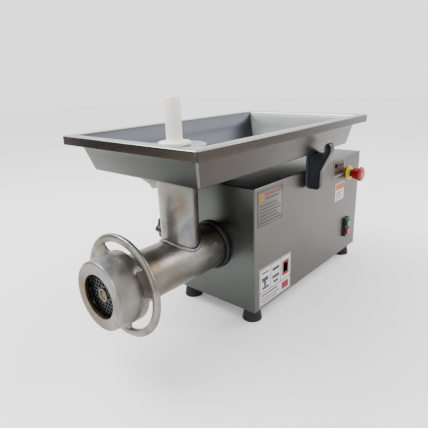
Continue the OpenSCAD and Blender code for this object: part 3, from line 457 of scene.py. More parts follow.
def rubber_pattern(tree, shader):
    dust = noise(tree, 70.0, (1, 1, 1), 4.0)
    fine = noise(tree, 900.0, (1, 1, 1), 2.0)
    tinted(tree, shader, dust, [(0.35, (0.006, 0.006, 0.007)), (0.7, (0.014, 0.014, 0.015))])
    roughened(tree, shader, dust, 0.48, 0.66)
    bumped(tree, shader, fine, 0.15, 0.0002)


rubber = coloured("black_moulded_rubber", rubber_pattern, Specular_IOR_Level=0.2)
for node in ("foot_front_left", "foot_front_right", "foot_rear_left", "foot_rear_right"):
    low, high = (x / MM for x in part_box(node))
    middle = ((low.x + high.x) / 2, (low.y + high.y) / 2, 0)
    profile = eased([(19, 0), (19, 2), (18.2, 6), (15, 28),
                     (3.1, 28), (3.1, 16), (7, 16), (7, 0)], 1.2)
    fitted(turned(node + "_cone", profile, middle, "Z", 64),
           "machine", "black_rubber", rubber, node)

# ---- Hub and seal ring ----------------------------------------------------------------------
# The alloy hub behind the casing's front takes the head's spigot. A black rubber ring closes
# the gap round the barrel where it enters the casing.
axis_at = (0, 0, barrel_axis)


def cast_pattern(tree, shader):
    grit = noise(tree, 300.0, (1, 1, 1), 5.0)
    cloud = noise(tree, 30.0, (1, 1, 1), 3.0)
    tinted(tree, shader, cloud, [(0.3, (0.42, 0.43, 0.44)), (0.7, (0.58, 0.59, 0.60))])
    roughened(tree, shader, grit, 0.38, 0.55)
    bumped(tree, shader, grit, 0.3, 0.0004)


cast_alloy = coloured("cast_alloy", cast_pattern, Metallic=1.0)
fitted(smooth(copy_of("hub_socket", "hub_casting")),
       "machine", "cast_alloy", cast_alloy, "hub_socket")
seal_profile = eased([(42.4, -100), (47.7, -100), (47.7, -106), (45.2, -108.5),
                      (43.4, -108.5), (42.4, -107.5)], 1.0)
fitted(turned("barrel_seal", seal_profile, axis_at), "machine", "black_rubber", rubber, "seal_ring")

# ---- Head: barrel, throat, lug and bead -----------------------------------------------------
# One iron casting, ground and tinned. The throat stands on the barrel, with a thick rounded
# bead round the saddle where they meet, and a lug reaches left from its rim, under the tray.


def tinned_pattern(tree, shader):
    cloud = noise(tree, 16.0, (1, 1, 1), 3.0, 0.5, 0.3)
    cell = noise(tree, 160.0, (1, 1, 1), 3.0)
    swirl = noise(tree, 40.0, (1.0, 0.35, 1.0), 3.0)
    tinted(tree, shader, cloud, [(0.30, (0.125, 0.088, 0.052)), (0.43, (0.145, 0.135, 0.12)),
                                      (0.58, (0.225, 0.212, 0.190)), (0.72, (0.110, 0.120, 0.135))])
    roughened(tree, shader, swirl, 0.32, 0.46)
    both = tree.nodes.new("ShaderNodeMath")
    both.operation = "ADD"
    tree.links.new(cell, both.inputs[0])
    tree.links.new(swirl, both.inputs[1])
    bumped(tree, shader, both.outputs[0], 0.22, 0.0012)


tinned = coloured("tinned_cast_iron", tinned_pattern, Metallic=1.0)
barrel_profile = eased([
    (41.2, -346), (48.2, -346), (48.2, -307), (42, -300), (42, -101), (33, -101), (33, -56),
    (24, -56), (24, -90), (20, -90), (20, -112), (36.5, -112), (36.5, -320), (41.2, -320)], 1.0)
barrel = turned("head_tube", barrel_profile, axis_at, "Y", 128)
throat_y, throat_top, throat_bore_r, throat_rim_r = -180, 301.3, 29, 41.5
cut_away(barrel, rod("throat_mouth", (0, throat_y, barrel_axis + 40), (0, 0, 1),
                     throat_bore_r, 80))
smooth(barrel, 38)
fitted(barrel, "head", "tinned_casting", tinned, "head_barrel")

throat_profile = eased([
    (throat_bore_r, 150), (32.6, 150), (34, 291.3), (throat_rim_r, 291.3),
    (throat_rim_r, throat_top), (throat_bore_r, throat_top)], 1.6)
throat = turned("head_throat_tube", throat_profile, (0, throat_y, 0), "Z", 96)
cut_away(throat, rod("barrel_shape", (0, throat_y, barrel_axis), (0, 1, 0), 41.7, 140, 128))
smooth(throat, 38)
fitted(throat, "head", "tinned_casting", tinned, "head_throat")


def plate_piece(name, outline, y0, y1):
    """A flat outline of (x, z) in mm, given depth along Y."""
    deselect()
    points = [Vector((x, y0, z)) * MM for x, z in outline]
    bpy.ops.mesh.primitive_plane_add(size=0.001, location=points[0])
    piece = settle(bpy.context.object)
    piece.name = name
    bpy.ops.object.mode_set(mode="EDIT")
    bpy.ops.mesh.select_all(action="SELECT")
    bpy.ops.mesh.merge(type="CENTER")
    for here, there in zip(points, points[1:] + points[:1]):
        bpy.ops.mesh.extrude_vertices_move(TRANSFORM_OT_translate={"value": there - here})
    bpy.ops.mesh.select_all(action="SELECT")
    bpy.ops.mesh.remove_doubles(threshold=0.000002)
    bpy.ops.mesh.select_all(action="SELECT")
    bpy.ops.mesh.edge_face_add()
    bpy.ops.mesh.extrude_region_move(TRANSFORM_OT_translate={"value": (0, (y1 - y0) * MM, 0)})
    bpy.ops.mesh.select_all(action="SELECT")
    bpy.ops.mesh.normals_make_consistent(inside=False)
    bpy.ops.object.mode_set(mode="OBJECT")
    return piece


lug_outline = [(-30, throat_top), (-87.5, throat_top), (-87.5, 276.3), (-65.5, 268.3),
               (-59.5, 261.3), (-49.5, 264.3), (-30, 264.3)]
lug_half_t = 7
lug = plate_piece("throat_lug", lug_outline, throat_y - lug_half_t, throat_y + lug_half_t)
fitted(soften_edges(lug, 2.2, 3, 25), "head", "tinned_casting", tinned)

bead_round_throat, bead_round_barrel, bead_r = 34.4, 42.6, 3.4
deselect()
bpy.ops.mesh.primitive_circle_add(vertices=120, radius=bead_round_throat * MM,
                                  location=(0, throat_y * MM, 0))
bead = settle(bpy.context.object)
bead.name = "throat_bead"
for v in bead.data.vertices:
    v.co.z = (barrel_axis + math.sqrt(bead_round_barrel ** 2 - (v.co.x / MM) ** 2)) * MM
bpy.ops.object.convert(target="CURVE")
bead = bpy.context.object
bead.data.bevel_depth = bead_r * MM
bead.data.bevel_resolution = 5
bpy.ops.object.convert(target="MESH")
bead = bpy.context.object
fitted(smooth(bead, 60), "head", "tinned_casting", tinned)

boss_profile = eased([(0, 40.5), (4.6, 40.5), (4.6, 42.9), (3.4, 42.9), (3.0, 42.5), (0, 42.5)],
                     0.5)
cast_mark = turned("cast_boss", boss_profile, (0, 0, 0), "Z", 32)
cast_mark.matrix_world = (Matrix.Translation(Vector((0, -132, barrel_axis)) * MM)
                          @ Matrix.Rotation(math.radians(62), 4, "Y"))
fitted(settle(cast_mark), "head", "tinned_casting", tinned)

# ---- Ring nut and hand ring -----------------------------------------------------------------
# The nut holds the plate against the barrel. Three webs that flare at both ends carry a round
# hand ring, cast in one with the nut.
nut_profile = eased([
    (35.5, -354), (53, -354), (55, -352), (57.5, -321),
    (57.5, -304), (48.7, -304), (48.7, -347.2), (35.5, -347.2)], 0.9)
nut = turned("nut_body", nut_profile, axis_at, "Y", 128)
fitted(nut, "ring_nut", "tinned_casting", tinned, "ring_nut")

ring_y, ring_middle, ring_half_w, ring_half_t = -309, 78.5, 6.5, 5
ring_profile = [(ring_middle + ring_half_w * math.copysign(abs(math.cos(a)) ** 0.8, math.cos(a)),
                 ring_y + ring_half_t * math.copysign(abs(math.sin(a)) ** 0.8, math.sin(a)))
                for a in (2 * math.pi * k / 24 for k in range(24))]
hand_ring = turned("hand_ring_rim", ring_profile, axis_at, "Y", 128)


def web(number, degrees):
    """One web, drawn out from the nut to the ring through sections that flare at both ends."""
    deselect()
    bpy.ops.mesh.primitive_circle_add(vertices=40, radius=1 * MM)
    piece = settle(bpy.context.object)
    piece.name = f"web_{number}"
    root, tip, steps = 55.5, 77.5, 12
    web_half_w, web_half_t = 20.6, 3.4
    for v in piece.data.vertices:
        a = math.atan2(v.co.y, v.co.x)
        v.co = Vector((math.copysign(abs(math.cos(a)) ** 0.55, math.cos(a)),
                       math.copysign(abs(math.sin(a)) ** 0.55, math.sin(a)), 0)) * MM
    sections = []
    for k in range(steps + 1):
        u = k / steps
        at_root, at_tip = math.exp(-u * 5.5), math.exp(-(1 - u) * 5.0)
        sections.append((root + (tip - root) * u,
                         web_half_w + 4.5 * at_root + 10.5 * at_tip,
                         web_half_t + 1.4 * at_root + 1.3 * at_tip))
    radius, half_w, half_t = sections[0]
    piece.scale = (half_w, half_t, 1)
    piece.location.z = radius * MM
    settle(piece)
    bpy.ops.object.mode_set(mode="EDIT")
    bpy.ops.mesh.select_all(action="SELECT")
    for (r0, w0, t0), (r1, w1, t1) in zip(sections, sections[1:]):
        bpy.ops.mesh.extrude_edges_move(TRANSFORM_OT_translate={"value": (0, 0, (r1 - r0) * MM)})
        bpy.ops.transform.resize(value=(w1 / w0, t1 / t0, 1), center_override=(0, 0, r1 * MM))
    bpy.ops.mesh.select_all(action="SELECT")
    bpy.ops.mesh.normals_make_consistent(inside=False)
    bpy.ops.object.mode_set(mode="OBJECT")
    for v in piece.data.vertices:
        sag = math.hypot(v.co.x, v.co.z) - v.co.z
        v.co.z -= sag * 0.9
    piece.matrix_world = (Matrix.Translation(Vector((0, ring_y, barrel_axis)) * MM)
                          @ Matrix.Rotation(math.radians(90 - degrees), 4, "Y"))
    return smooth(settle(piece), 50)


def join_to(piece, others):
    """Makes the other pieces part of the first one."""
    deselect()
    for each in [piece, *others]:
        each.select_set(True)
    bpy.context.view_layer.objects.active = piece
    bpy.ops.object.join()


join_to(hand_ring, [web(i, 20 + 120 * i) for i in range(3)])
fitted(hand_ring, "ring_nut", "tinned_casting", tinned, "hand_ring")

# ---- Plate, knife and worm ------------------------------------------------------------------
# A hardened plate with drilled holes, a four-armed knife behind it and the tinned worm. The
# worm's stud shows in the plate's middle, inside a raised ring.


def hard_pattern(tree, shader):
    swirl = noise(tree, 120.0, (1, 0.2, 1), 3.0)
    tinted(tree, shader, swirl, [(0.3, (0.005, 0.006, 0.007)), (0.7, (0.014, 0.016, 0.018))])
    roughened(tree, shader, swirl, 0.26, 0.40)
    bumped(tree, shader, swirl, 0.1, 0.0003)


hard_steel = coloured("hardened_steel", hard_pattern, Metallic=1.0)
fitted(smooth(copy_of("grinder_plate", "drilled_plate")),
       "head", "hard_steel", hard_steel, "grinder_plate")
stud_ring_profile = eased([(7.3, -344), (10.6, -344), (10.6, -346.4), (7.3, -346.4)], 0.5)
fitted(turned("stud_ring", stud_ring_profile, axis_at, "Y", 48),
       "head", "tinned_casting", tinned)
fitted(soften_edges(copy_of("knife", "knife_blade"), 0.4),
       "worm", "hard_steel", hard_steel, "knife")
fitted(smooth(copy_of("worm", "worm_casting", dissolve=False), 40),
       "worm", "tinned_casting", tinned, "worm")

# ---- Tray -----------------------------------------------------------------------------------
# Folded stainless sheet: a flat floor, four sloping walls welded at their corners, and a flat
# rim whose edge is rolled down into a lip. A short collar under the floor enters the throat.
rim_z, tray_floor = 362, 303
wall_rise = rim_z - tray_floor
floor_half, floor_front, floor_rear = 120.5, -254, 203.5
rim_half, rim_front, rim_rear = 153.5, -290, 230


def on_wall(share, out, z=None):
    """Half width, front, rear and height of a ring at a share of the wall, out mm beside it."""
    return (floor_half + 15 * share + out, floor_front - 18 * share - out,
            floor_rear + 8.5 * share + out, tray_floor + wall_rise * share if z is None else z)


def on_rim(inward, z):
    """The same for a ring on the rim or its lip, inward mm from the outer edge."""
    return (rim_half - inward, rim_front + inward, rim_rear - inward, z)


inside_up = [on_wall(0, -2.2), on_wall(0, -1.2, tray_floor + 0.15),
             on_wall(0, -0.35, tray_floor + 0.7),
             on_wall(0.035, 0), on_wall(0.5, 0), on_wall(0.965, 0)]
over_rim = [on_wall(1, 0.3, rim_z - 0.9), on_wall(1, 1.1, rim_z - 0.2), on_wall(1, 2.4, rim_z),
            on_rim(2.8, rim_z), on_rim(1.4, 361.6), on_rim(0.4, 360.6), on_rim(0, 359.2)]
round_lip = [on_rim(0, 347.3), on_rim(0.3, 347), on_rim(1.3, 347), on_rim(1.5, 347.3),
             on_rim(1.5, 359.2), on_rim(2.0, 360.1), on_rim(2.8, 360.5)]
outside_down = [on_wall(1, 3.6, rim_z - 1.5), on_wall(1, 2.2, rim_z - 2.2),
                on_wall(0.93, 1.6), on_wall(0.5, 1.6), on_wall(0.03, 1.6),
                on_wall(0, 1.1, tray_floor - 0.6), on_wall(0, 0.2, tray_floor - 1.3),
                on_wall(0, -1.0, tray_floor - 1.5)]
sheet_rings = inside_up + over_rim + round_lip + outside_down
deselect()
half, y0, y1, z = sheet_rings[0]
bpy.ops.mesh.primitive_plane_add(size=1, location=(0, (y0 + y1) / 2 * MM, z * MM))
tray = bpy.context.object
tray.name = "feed_tray"
tray.scale = (2 * half * MM, (y1 - y0) * MM, 1)
settle(tray)
bpy.ops.object.mode_set(mode="EDIT")
bpy.ops.mesh.select_all(action="SELECT")
bpy.ops.mesh.bevel(offset=2.6 * MM, segments=4, affect="VERTICES")
bpy.context.tool_settings.mesh_select_mode = (False, True, False)
bpy.ops.mesh.select_all(action="SELECT")
for (h0, a0, b0, z0), (h1, a1, b1, z1) in zip(sheet_rings, sheet_rings[1:]):
    shift = ((a1 + b1) - (a0 + b0)) / 2
    move = (0, shift * MM, (z1 - z0) * MM)
    bpy.ops.mesh.extrude_edges_move(TRANSFORM_OT_translate={"value": move})
    bpy.ops.transform.resize(value=(h1 / h0, (b1 - a1) / (b0 - a0), 1),
                             center_override=(0, (a1 + b1) / 2 * MM, z1 * MM))
bpy.ops.mesh.edge_face_add()
bpy.ops.mesh.select_all(action="SELECT")
bpy.ops.mesh.normals_make_consistent(inside=False)
bpy.ops.object.mode_set(mode="OBJECT")
collar_r, throat_at = 27.1, (0, throat_y, 0)
cut_away(tray, rod("collar_hole", (0, throat_y, tray_floor), (0, 0, 1), collar_r, 20, 96))
smooth(tray)
collar_outline = eased([(collar_r, 277), (28.6, 277), (28.6, 302.2), (collar_r, tray_floor)], 0.4)
collar = turned("collar", collar_outline, throat_at, "Z", 96)
join_to(tray, [collar])
# Copies of one brushed steel, a tone for each kind of face. The outside walls and the rolled lip
# are painted darker: painted shade.
tray_steel_y_painted_shade = brushed_steel("tray_grain_lengthwise_painted_shade", "Y",
                             (0.046, 0.040, 0.036), (0.064, 0.057, 0.052), 0.24, 0.34)
tray_steel_x_painted_shade = brushed_steel("tray_grain_crosswise_painted_shade", "X",
                             (0.032, 0.034, 0.031), (0.045, 0.047, 0.044), 0.24, 0.34)
lip_steel_painted_shade = brushed_steel("tray_lip_grain_painted_shade", "Y",
                          (0.045, 0.038, 0.033), (0.065, 0.056, 0.048), 0.22, 0.32)
# The inside side walls are painted darker too: painted shade.
inner_steel_y_painted_shade = brushed_steel("tray_inside_lengthwise_painted_shade", "Y",
                              (0.030, 0.032, 0.037), (0.045, 0.047, 0.053), 0.24, 0.34)
# The inside front and rear walls, the floor and the rim top are painted much lighter: painted
# light.
inner_steel_x_painted_light = brushed_steel("tray_inside_crosswise_painted_light", "X",
                              (0.34, 0.348, 0.36), (0.46, 0.468, 0.48), 0.24, 0.34)
floor_steel_painted_light = brushed_steel("tray_floor_grain_painted_light", "Y",
                            (0.12, 0.124, 0.132), (0.18, 0.184, 0.194), 0.24, 0.34)
rim_steel_painted_light = brushed_steel("tray_rim_grain_painted_light", "Y",
                          (0.24, 0.24, 0.24), (0.36, 0.36, 0.36), 0.20, 0.30)


# The small faces on the tray's rounded corners: a ground weld, painted lighter than the walls
# beside it, partly as painted highlight along the corner line.
def weld_and_highlight_pattern(tree, shader):
    ripple = noise(tree, 260.0, (1, 1, 2.5), 2.0)
    tinted(tree, shader, ripple, [(0.3, (0.085, 0.083, 0.080)), (0.7, (0.13, 0.128, 0.125))])
    roughened(tree, shader, ripple, 0.24, 0.38)
    bumped(tree, shader, ripple, 0.35, 0.0004)


ground_weld_and_painted_highlight = coloured("ground_weld_and_painted_highlight", weld_and_highlight_pattern, Metallic=1.0)
sheet_painted_tones = [tray_steel_y_painted_shade, tray_steel_x_painted_shade, ground_weld_and_painted_highlight, lip_steel_painted_shade,
                  inner_steel_y_painted_shade, inner_steel_x_painted_light, rim_steel_painted_light, floor_steel_painted_light]
for material in sheet_painted_tones:
    tray.data.materials.append(material)
middle_y = (rim_front + rim_rear) / 2 * MM
lip_t, small_face = 1.5, 0.0008
# Each face takes a tone by the way it faces: painted light on upward faces and the inside front and
# rear walls, painted shade on the other walls and the lip, and the weld tone with painted highlight
# on the small corner faces.
for face in tray.data.polygons:
    across, along = abs(face.normal.x), abs(face.normal.y)
    inward = face.normal.x * face.center.x + face.normal.y * (face.center.y - middle_y) < 0
    lip = (abs(face.center.x) > (rim_half - lip_t) * MM
           or not rim_front + lip_t < face.center.y / MM < rim_rear - lip_t)
    if face.normal.z > 0.6:
        finish = rim_steel_painted_light if face.center.z > (tray_floor + wall_rise / 2) * MM else floor_steel_painted_light
    elif lip:
        finish = lip_steel_painted_shade
    elif min(across, along) > 0.12 and face.area < small_face:
        finish = ground_weld_and_painted_highlight
    elif inward:
        finish = inner_steel_x_painted_light if along > 0.5 else inner_steel_y_painted_shade
    else:
        finish = tray_steel_x_painted_shade if along > 0.5 else tray_steel_y_painted_shade
    face.material_index = sheet_painted_tones.index(finish)
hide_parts("tray")
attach(tray, "tray")

# ---- Hand guard and plunger -----------------------------------------------------------------
# A stainless disc on three legs keeps hands from the throat. The white plunger passes
# through it and rests on it by its stop flange.
guard_low, guard_high, leg_circle_r, leg_r = 341, 343, 45, 3
guard_outline = eased([(23.1, guard_low), (52, guard_low), (52, guard_high), (23.1, guard_high)],
                      0.7)
guard = turned("guard_disc", guard_outline, throat_at, "Z", 96)
leg_outline = eased([(0, tray_floor), (leg_r, tray_floor), (leg_r, guard_low + 0.5),
                     (0, guard_low + 0.5)], 0.4)
legs = []
for k in range(3):
    a = math.radians(60 + 120 * k)
    leg_at = (leg_circle_r * math.cos(a), throat_y + leg_circle_r * math.sin(a), 0)
    legs.append(turned(f"leg_{k}", leg_outline, leg_at, "Z", 24))
join_to(guard, legs)
# The guard takes the rim's tone, which is painted light.
fitted(guard, "tray", "tray_steel", rim_steel_painted_light, "hand_guard")


def nylon_pattern(tree, shader):
    stain = noise(tree, 26.0, (1, 1, 0.4), 4.0)
    fine = noise(tree, 420.0, (1, 1, 1), 2.0)
    tinted(tree, shader, stain, [(0.3, (0.74, 0.70, 0.62)), (0.7, (0.84, 0.82, 0.77))])
    roughened(tree, shader, stain, 0.36, 0.50)
    bumped(tree, shader, fine, 0.08, 0.0002)


nylon = coloured("white_nylon", nylon_pattern, Subsurface_Weight=0.08)
ram_r, ram_foot, flange_low, flange_high, plunger_top = 22.5, 200, 343.2, 348.7, 419
plunger_profile = eased([
    (0, ram_foot), (ram_r, ram_foot), (ram_r, flange_low), (26.5, flange_low),
    (26.5, flange_high), (14.6, flange_high), (13.2, 353), (12.9, plunger_top),
    (0, plunger_top)], 2.0)
fitted(turned("plunger_rod", plunger_profile, throat_at, "Z", 96),
       "plunger", "white_plastic", nylon, "plunger")

# ---- Tray supports --------------------------------------------------------------------------
# Black moulded arms screwed to the casing. Each carries the edge of the tray's floor and
# hooks up outside its wall, with a hollowed face between raised borders.


def moulded_pattern(tree, shader):
    grain = noise(tree, 500.0, (1, 1, 1), 2.0)
    cloud = noise(tree, 22.0, (1, 1, 1), 3.0)
    tinted(tree, shader, cloud, [(0.3, (0.006, 0.008, 0.010)), (0.7, (0.014, 0.017, 0.021))])
    roughened(tree, shader, cloud, 0.30, 0.44)
    bumped(tree, shader, grain, 0.12, 0.0002)


black_moulding = coloured("black_moulding", moulded_pattern, Specular_IOR_Level=0.25)
casing_side, support_front, support_rear = 101, 71, 87
support_outline = [(casing_side, 236), (107, 230), (127, 230), (132, 235), (132, 266),
                   (148, 298.3), (151, 305.3), (151, 316), (147, 321), (142, 321), (138, 316),
                   (138, 306.3), (135, 301.3), (casing_side, 301.3)]


def support(name):
    """An arm for the right side, with its two wide faces hollowed."""
    piece = plate_piece(name, support_outline, support_front, support_rear)
    pick(piece, "FACE", lambda face: abs(face.normal.y) > 0.9)
    bpy.ops.mesh.inset(thickness=0.0032, depth=-0.0018, use_individual=True)
    bpy.ops.object.mode_set(mode="OBJECT")
    return soften_edges(piece, 0.8, 3, 25)


fitted(support("support_arm_right"),
       "machine", "black_plastic", black_moulding, "tray_support_right")
left_arm = support("support_arm_left")
deselect()
left_arm.select_set(True)
bpy.context.view_layer.objects.active = left_arm
bpy.ops.object.mode_set(mode="EDIT")
bpy.ops.mesh.select_all(action="SELECT")
bpy.ops.transform.mirror(constraint_axis=(True, False, False), center_override=(0, 0, 0))
bpy.ops.mesh.normals_make_consistent(inside=False)
bpy.ops.object.mode_set(mode="OBJECT")
fitted(left_arm, "machine", "black_plastic", black_moulding, "tray_support_left")

# ---- Lock knob ------------------------------------------------------------------------------
# A black moulded knob with six lobes, on the screw that locks the head. It stands off the
# casing's left side, near the front.
knob_face_x, lobes, lobe_middle, lobe_swing = -135.5, 6, 22.2, 2.8
deselect()
bpy.ops.mesh.primitive_circle_add(vertices=144, radius=1 * MM)
knob = settle(bpy.context.object)
knob.name = "knob_grip"
for v in knob.data.vertices:
    a = math.atan2(v.co.y, v.co.x)
    reach = lobe_middle + lobe_swing * math.cos(lobes * a)
    v.co = Vector((knob_face_x, reach * math.cos(a), reach * math.sin(a))) * MM
bpy.ops.object.mode_set(mode="EDIT")
bpy.ops.mesh.select_all(action="SELECT")
grip_steps = [(0.92, 0), (0.985, 0.8), (1.0, 2.6), (1.0, 14.2), (0.97, 16.6), (0.90, 17.8),
              (0.62, 18.0), (0.55, 17.2), (0.0, 17.0)]
first_share = grip_steps[0][0]
bpy.ops.transform.resize(value=(1, first_share, first_share),
                         center_override=(knob_face_x * MM, 0, 0))
for (s0, d0), (s1, d1) in zip(grip_steps, grip_steps[1:]):
    bpy.ops.mesh.extrude_edges_move(TRANSFORM_OT_translate={"value": (-(d1 - d0) * MM, 0, 0)})
    factor = max(s1 / s0, 0.0001)
    bpy.ops.transform.resize(value=(1, factor, factor),
                             center_override=((knob_face_x - d1) * MM, 0, 0))
bpy.ops.mesh.select_all(action="SELECT")
bpy.ops.mesh.remove_doubles(threshold=0.00002)
bpy.ops.object.mode_set(mode="OBJECT")
pick(knob, "EDGE", lambda edge: all(abs(p.x - knob_face_x * MM) < 1e-5 for p in ends(knob, edge)))
bpy.ops.mesh.edge_face_add()
bpy.ops.mesh.select_all(action="SELECT")
bpy.ops.mesh.normals_make_consistent(inside=False)
bpy.ops.object.mode_set(mode="OBJECT")
knob.location = Vector((0, lock_y, barrel_axis)) * MM
settle(knob)
smooth(knob, 38)
neck_outline = eased([(5.1, -135), (11, -135), (9.5, -127.5), (5.1, -127.5)], 0.8)
knob_neck = turned("knob_neck", neck_outline, (0, lock_y, barrel_axis), "X", 48)
join_to(knob, [knob_neck])
fitted(knob, "lock_knob", "black_plastic", black_moulding, "lock_knob")
fitted(smooth(copy_of("lock_screw", "lock_screw_made")),
       "lock_knob", "bright_steel", zinc, "lock_screw")

# ---- Emergency stop -------------------------------------------------------------------------
# A red mushroom head with a short skirt, on a black stem that comes out through a yellow
# stepped collar. Pushing it in stops the machine.


def glossy(name, dark, light):
    def pattern(tree, shader):
        cloud = noise(tree, 60.0, (1, 1, 1), 3.0)
        tinted(tree, shader, cloud, [(0.3, dark), (0.7, light)])
        roughened(tree, shader, cloud, 0.20, 0.32)
        bumped(tree, shader, cloud, 0.04, 0.0003)

    return coloured(name, pattern, Coat_Weight=0.08, Coat_Roughness=0.15, Specular_IOR_Level=0.3)


red = glossy("red_moulding", (0.17, 0.002, 0.004), (0.25, 0.005, 0.008))
green = glossy("green_moulding", (0.003, 0.085, 0.042), (0.005, 0.13, 0.065))
yellow = glossy("yellow_moulding", (0.42, 0.27, 0.006), (0.55, 0.36, 0.010))
stop_at = (0, 278, 222)
collar_profile = eased([(8.4, casing_side), (17, casing_side), (17, 102.6), (13, 103.4),
                        (13, 107.4), (8.4, 107.4)], 0.6)
fitted(turned("stop_collar", collar_profile, stop_at, "X", 72),
       "machine", "yellow_plastic", yellow, "estop_collar")
head_profile = eased([
    (8.3, 119), (8.3, 112.4), (12.0, 112.4), (13.0, 119), (13.5, 126), (17, 128), (17, 131),
    (14, 134.5), (9, 135.9), (4, 135.6), (0, 135.4), (0, 119)], 1.2)
fitted(turned("stop_mushroom", head_profile, stop_at, "X", 72),
       "estop_head", "red_plastic", red, "estop_head")
fitted(smooth(copy_of("estop_stem", "stop_stem")),
       "estop_stem", "black_plastic", black_moulding, "estop_stem")

# ---- Push-buttons ---------------------------------------------------------------------------
# A dark station let into the casing's side, with a green start and a red stop button, each in
# its own square well.
fitted(soften_edges(copy_of("button_station", "switch_station"), 1.4, 4),
       "machine", "black_plastic", black_moulding, "button_station")


def push_button(name, z, body, slot_name, material, node):
    """A square button with a shallow dished face."""
    half, middle, inner_x, face_x = 7.5, 278, 89, 112
    piece = box_piece(name, (inner_x, middle - half, z - half), (face_x, middle + half, z + half))
    pick(piece, "FACE", lambda face: face.normal.x > 0.9)
    bpy.ops.mesh.inset(thickness=0.0028, depth=-0.0006)
    bpy.ops.object.mode_set(mode="OBJECT")
    return fitted(soften_edges(piece, 0.9, 3, 20), body, slot_name, material, node)


push_button("button_green", 98, "start_button", "green_plastic", green, "start_button")
push_button("button_red", 78, "stop_button", "red_plastic", red, "stop_button")

# ---- Plates on the right side ---------------------------------------------------------------
# Four thin plates with plain bands and blocks: two near the front, one above the other, and
# two small ones by the emergency stop. The upper one of each pair is metal.


def foil_pattern(tree, shader):
    lines = noise(tree, 14.0, (220, 3, 220), 3.0)
    tinted(tree, shader, lines, [(0.3, (0.085, 0.078, 0.068)), (0.7, (0.12, 0.112, 0.10))])
    roughened(tree, shader, lines, 0.28, 0.42)


def printed(name, colour):
    """Printed film: one colour, a little uneven."""
    dark = tuple(c * 0.88 for c in colour)

    def pattern(tree, shader):
        wear = noise(tree, 90.0, (1, 1, 1), 4.0)
        tinted(tree, shader, wear, [(0.3, dark), (0.7, colour)])
        roughened(tree, shader, wear, 0.34, 0.48)

    return coloured(name, pattern, Specular_IOR_Level=0.2)


foil = coloured("foil_plate", foil_pattern, Metallic=0.9)
inks = {
    "white": printed("white_print", (0.45, 0.45, 0.46)),
    "black": printed("black_print", (0.03, 0.03, 0.035)),
    "red": printed("red_print", (0.19, 0.010, 0.010)),
    "amber": printed("amber_print", (0.20, 0.10, 0.005)),
    "orange": printed("orange_print", (0.34, 0.085, 0.010)),
    "grey": printed("grey_print", (0.022, 0.020, 0.018)),
    "brown": printed("dark_maroon_block", (0.035, 0.012, 0.010)),
}
plate_face, print_back, print_face = 101.6, 101.2, 101.7


def side_plate(name, y0, z0, y1, z1, base, prints):
    """A plate in mm, and its prints as (ink, y0, z0, y1, z1) from the plate's low corner."""
    plate = box_piece(name, (casing_side, y0, z0), (plate_face, y1, z1))
    soften_edges(plate, 0.25, 2)
    plate.data.materials.append(base)
    marks = []
    for i, (ink, a, b, c, d) in enumerate(prints):
        mark = box_piece(f"{name}_{i}", (print_back, y0 + a, z0 + b), (print_face, y0 + c, z0 + d))
        mark.data.materials.append(inks[ink])
        marks.append(mark)
    join_to(plate, marks)
    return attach(plate, "machine")


text_lines = [("grey", 6, 6 + 6.2 * i, 74 - 7 * (i % 3), 8.2 + 6.2 * i) for i in range(6)]
upper_border = [("black", 1, 1, 79, 2.4), ("black", 1, 63.6, 79, 65),
                ("black", 1, 2.4, 2.4, 63.6), ("black", 77.6, 2.4, 79, 63.6)]
upper_head = [("amber", 5, 46, 20, 61), ("red", 23, 55, 72, 58.5), ("grey", 23, 48, 66, 50.5)]
upper = side_plate("plate_upper", -92, 192, -12, 258, foil, upper_border + text_lines + upper_head)
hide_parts("side_plates")
lower_border = [("black", 1, 1, 108, 2.6), ("black", 1, 75.4, 108, 77),
                ("black", 1, 2.6, 2.6, 75.4), ("black", 106.4, 2.6, 108, 75.4)]
lower_frames = [("black", 2.6, 27, 106.4, 28.6), ("black", 36, 28.6, 37.6, 75.4),
                ("black", 71, 28.6, 72.6, 75.4)]
left_field = [("black", 7, 66, 31, 69), ("black", 8, 50, 28, 58), ("black", 14, 40, 21, 50),
              ("black", 9, 34, 30, 39)]
middle_field = [("grey", 42, 60, 66, 66), ("black", 42, 44, 66, 50), ("grey", 46, 34, 62, 39)]
right_field = [("red", 77, 36, 101, 68), ("white", 82, 42, 96, 62), ("black", 86, 45, 92, 59)]
foot_field = [("red", 6, 20, 60, 23.4), ("grey", 6, 13, 66, 15), ("grey", 6, 7, 58, 9),
              ("red", 76, 7, 100, 22)]
side_plate("plate_lower", -86, 32, 23, 110, inks["white"],
           lower_border + lower_frames + left_field + middle_field + right_field + foot_field)
# A foil plate almost covered by a dark maroon square, with a small amber block at its upper front
# corner.
side_plate("plate_switch", 194, 224, 252, 262, foil,
           [("brown", 4, 4, 54, 34), ("amber", 8, 22, 18, 31),
            ("grey", 22, 24, 50, 26), ("grey", 8, 9, 50, 11)])
side_plate("plate_rating", 210, 166, 256, 208, inks["white"],
           [("orange", 2, 26, 44, 40), ("grey", 6, 18, 38, 20),
            ("grey", 6, 12, 32, 14), ("grey", 6, 6, 36, 8)])

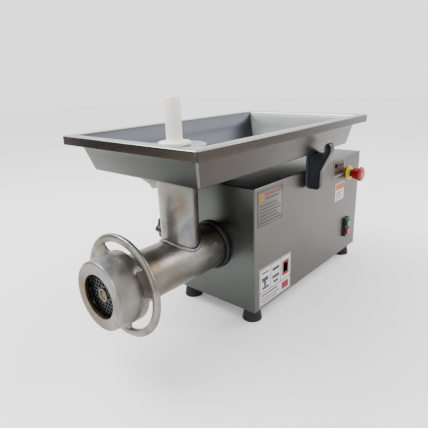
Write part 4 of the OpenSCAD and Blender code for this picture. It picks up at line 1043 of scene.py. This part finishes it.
# ---- Cable gland ----------------------------------------------------------------------------
# A black nylon gland in the rear cover, where the mains cord enters. It is a moulding, with
# softened edges.
fitted(soften_edges(copy_of("cable_gland", "cord_gland"), 0.4),
       "machine", "black_plastic", black_moulding, "cable_gland")

# ---- Drive, motor and electrical parts ------------------------------------------------------
# What the casing hides, each in its own finish: gearbox and motor castings, steel shafts and
# gears, copper windings, and the moulded electrical parts.


def copper_pattern(tree, shader):
    strands = noise(tree, 60.0, (12, 1, 12), 3.0)
    tinted(tree, shader, strands, [(0.3, (0.42, 0.17, 0.07)), (0.7, (0.70, 0.34, 0.16))])
    roughened(tree, shader, strands, 0.26, 0.42)
    bumped(tree, shader, strands, 0.4, 0.0006)


def paint_pattern(tree, shader):
    peel = noise(tree, 420.0, (1, 1, 1), 3.0)
    tinted(tree, shader, peel, [(0.3, (0.10, 0.12, 0.15)), (0.7, (0.15, 0.17, 0.20))])
    roughened(tree, shader, peel, 0.38, 0.50)
    bumped(tree, shader, peel, 0.1, 0.0002)


def bronze_pattern(tree, shader):
    lines = noise(tree, 80.0, (1, 6, 1), 2.0)
    tinted(tree, shader, lines, [(0.3, (0.46, 0.30, 0.12)), (0.7, (0.66, 0.48, 0.24))])
    roughened(tree, shader, lines, 0.24, 0.38)


copper = coloured("enamelled_copper", copper_pattern, Metallic=0.9)
grey_paint = coloured("grey_paint", paint_pattern)
bronze = coloured("machined_bronze", bronze_pattern, Metallic=1.0)
inner = {
    cast_alloy: ["gearbox_case", "gearbox_cover"],
    hard_steel: ["drive_bolts"],
    machined: ["output_shaft", "output_gear", "layshaft", "layshaft_gear", "motor_shaft",
               "motor_pinion", "rotor_core", "stator_core", "motor_cradle"],
    zinc: ["output_bearings", "layshaft_bearings", "motor_bearings", "plate_key"],
    rubber: ["oil_seal"],
    copper: ["stator_windings"],
    grey_paint: ["motor_housing", "motor_end_shield"],
    black_moulding: ["motor_fan", "contactor", "estop_contacts", "station_contacts"],
    nylon: ["capacitor"],
    bronze: ["worm_bush"],
}
for material, nodes in inner.items():
    for node in nodes:
        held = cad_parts[node]
        held.data.materials.clear()
        held.data.materials.append(material)
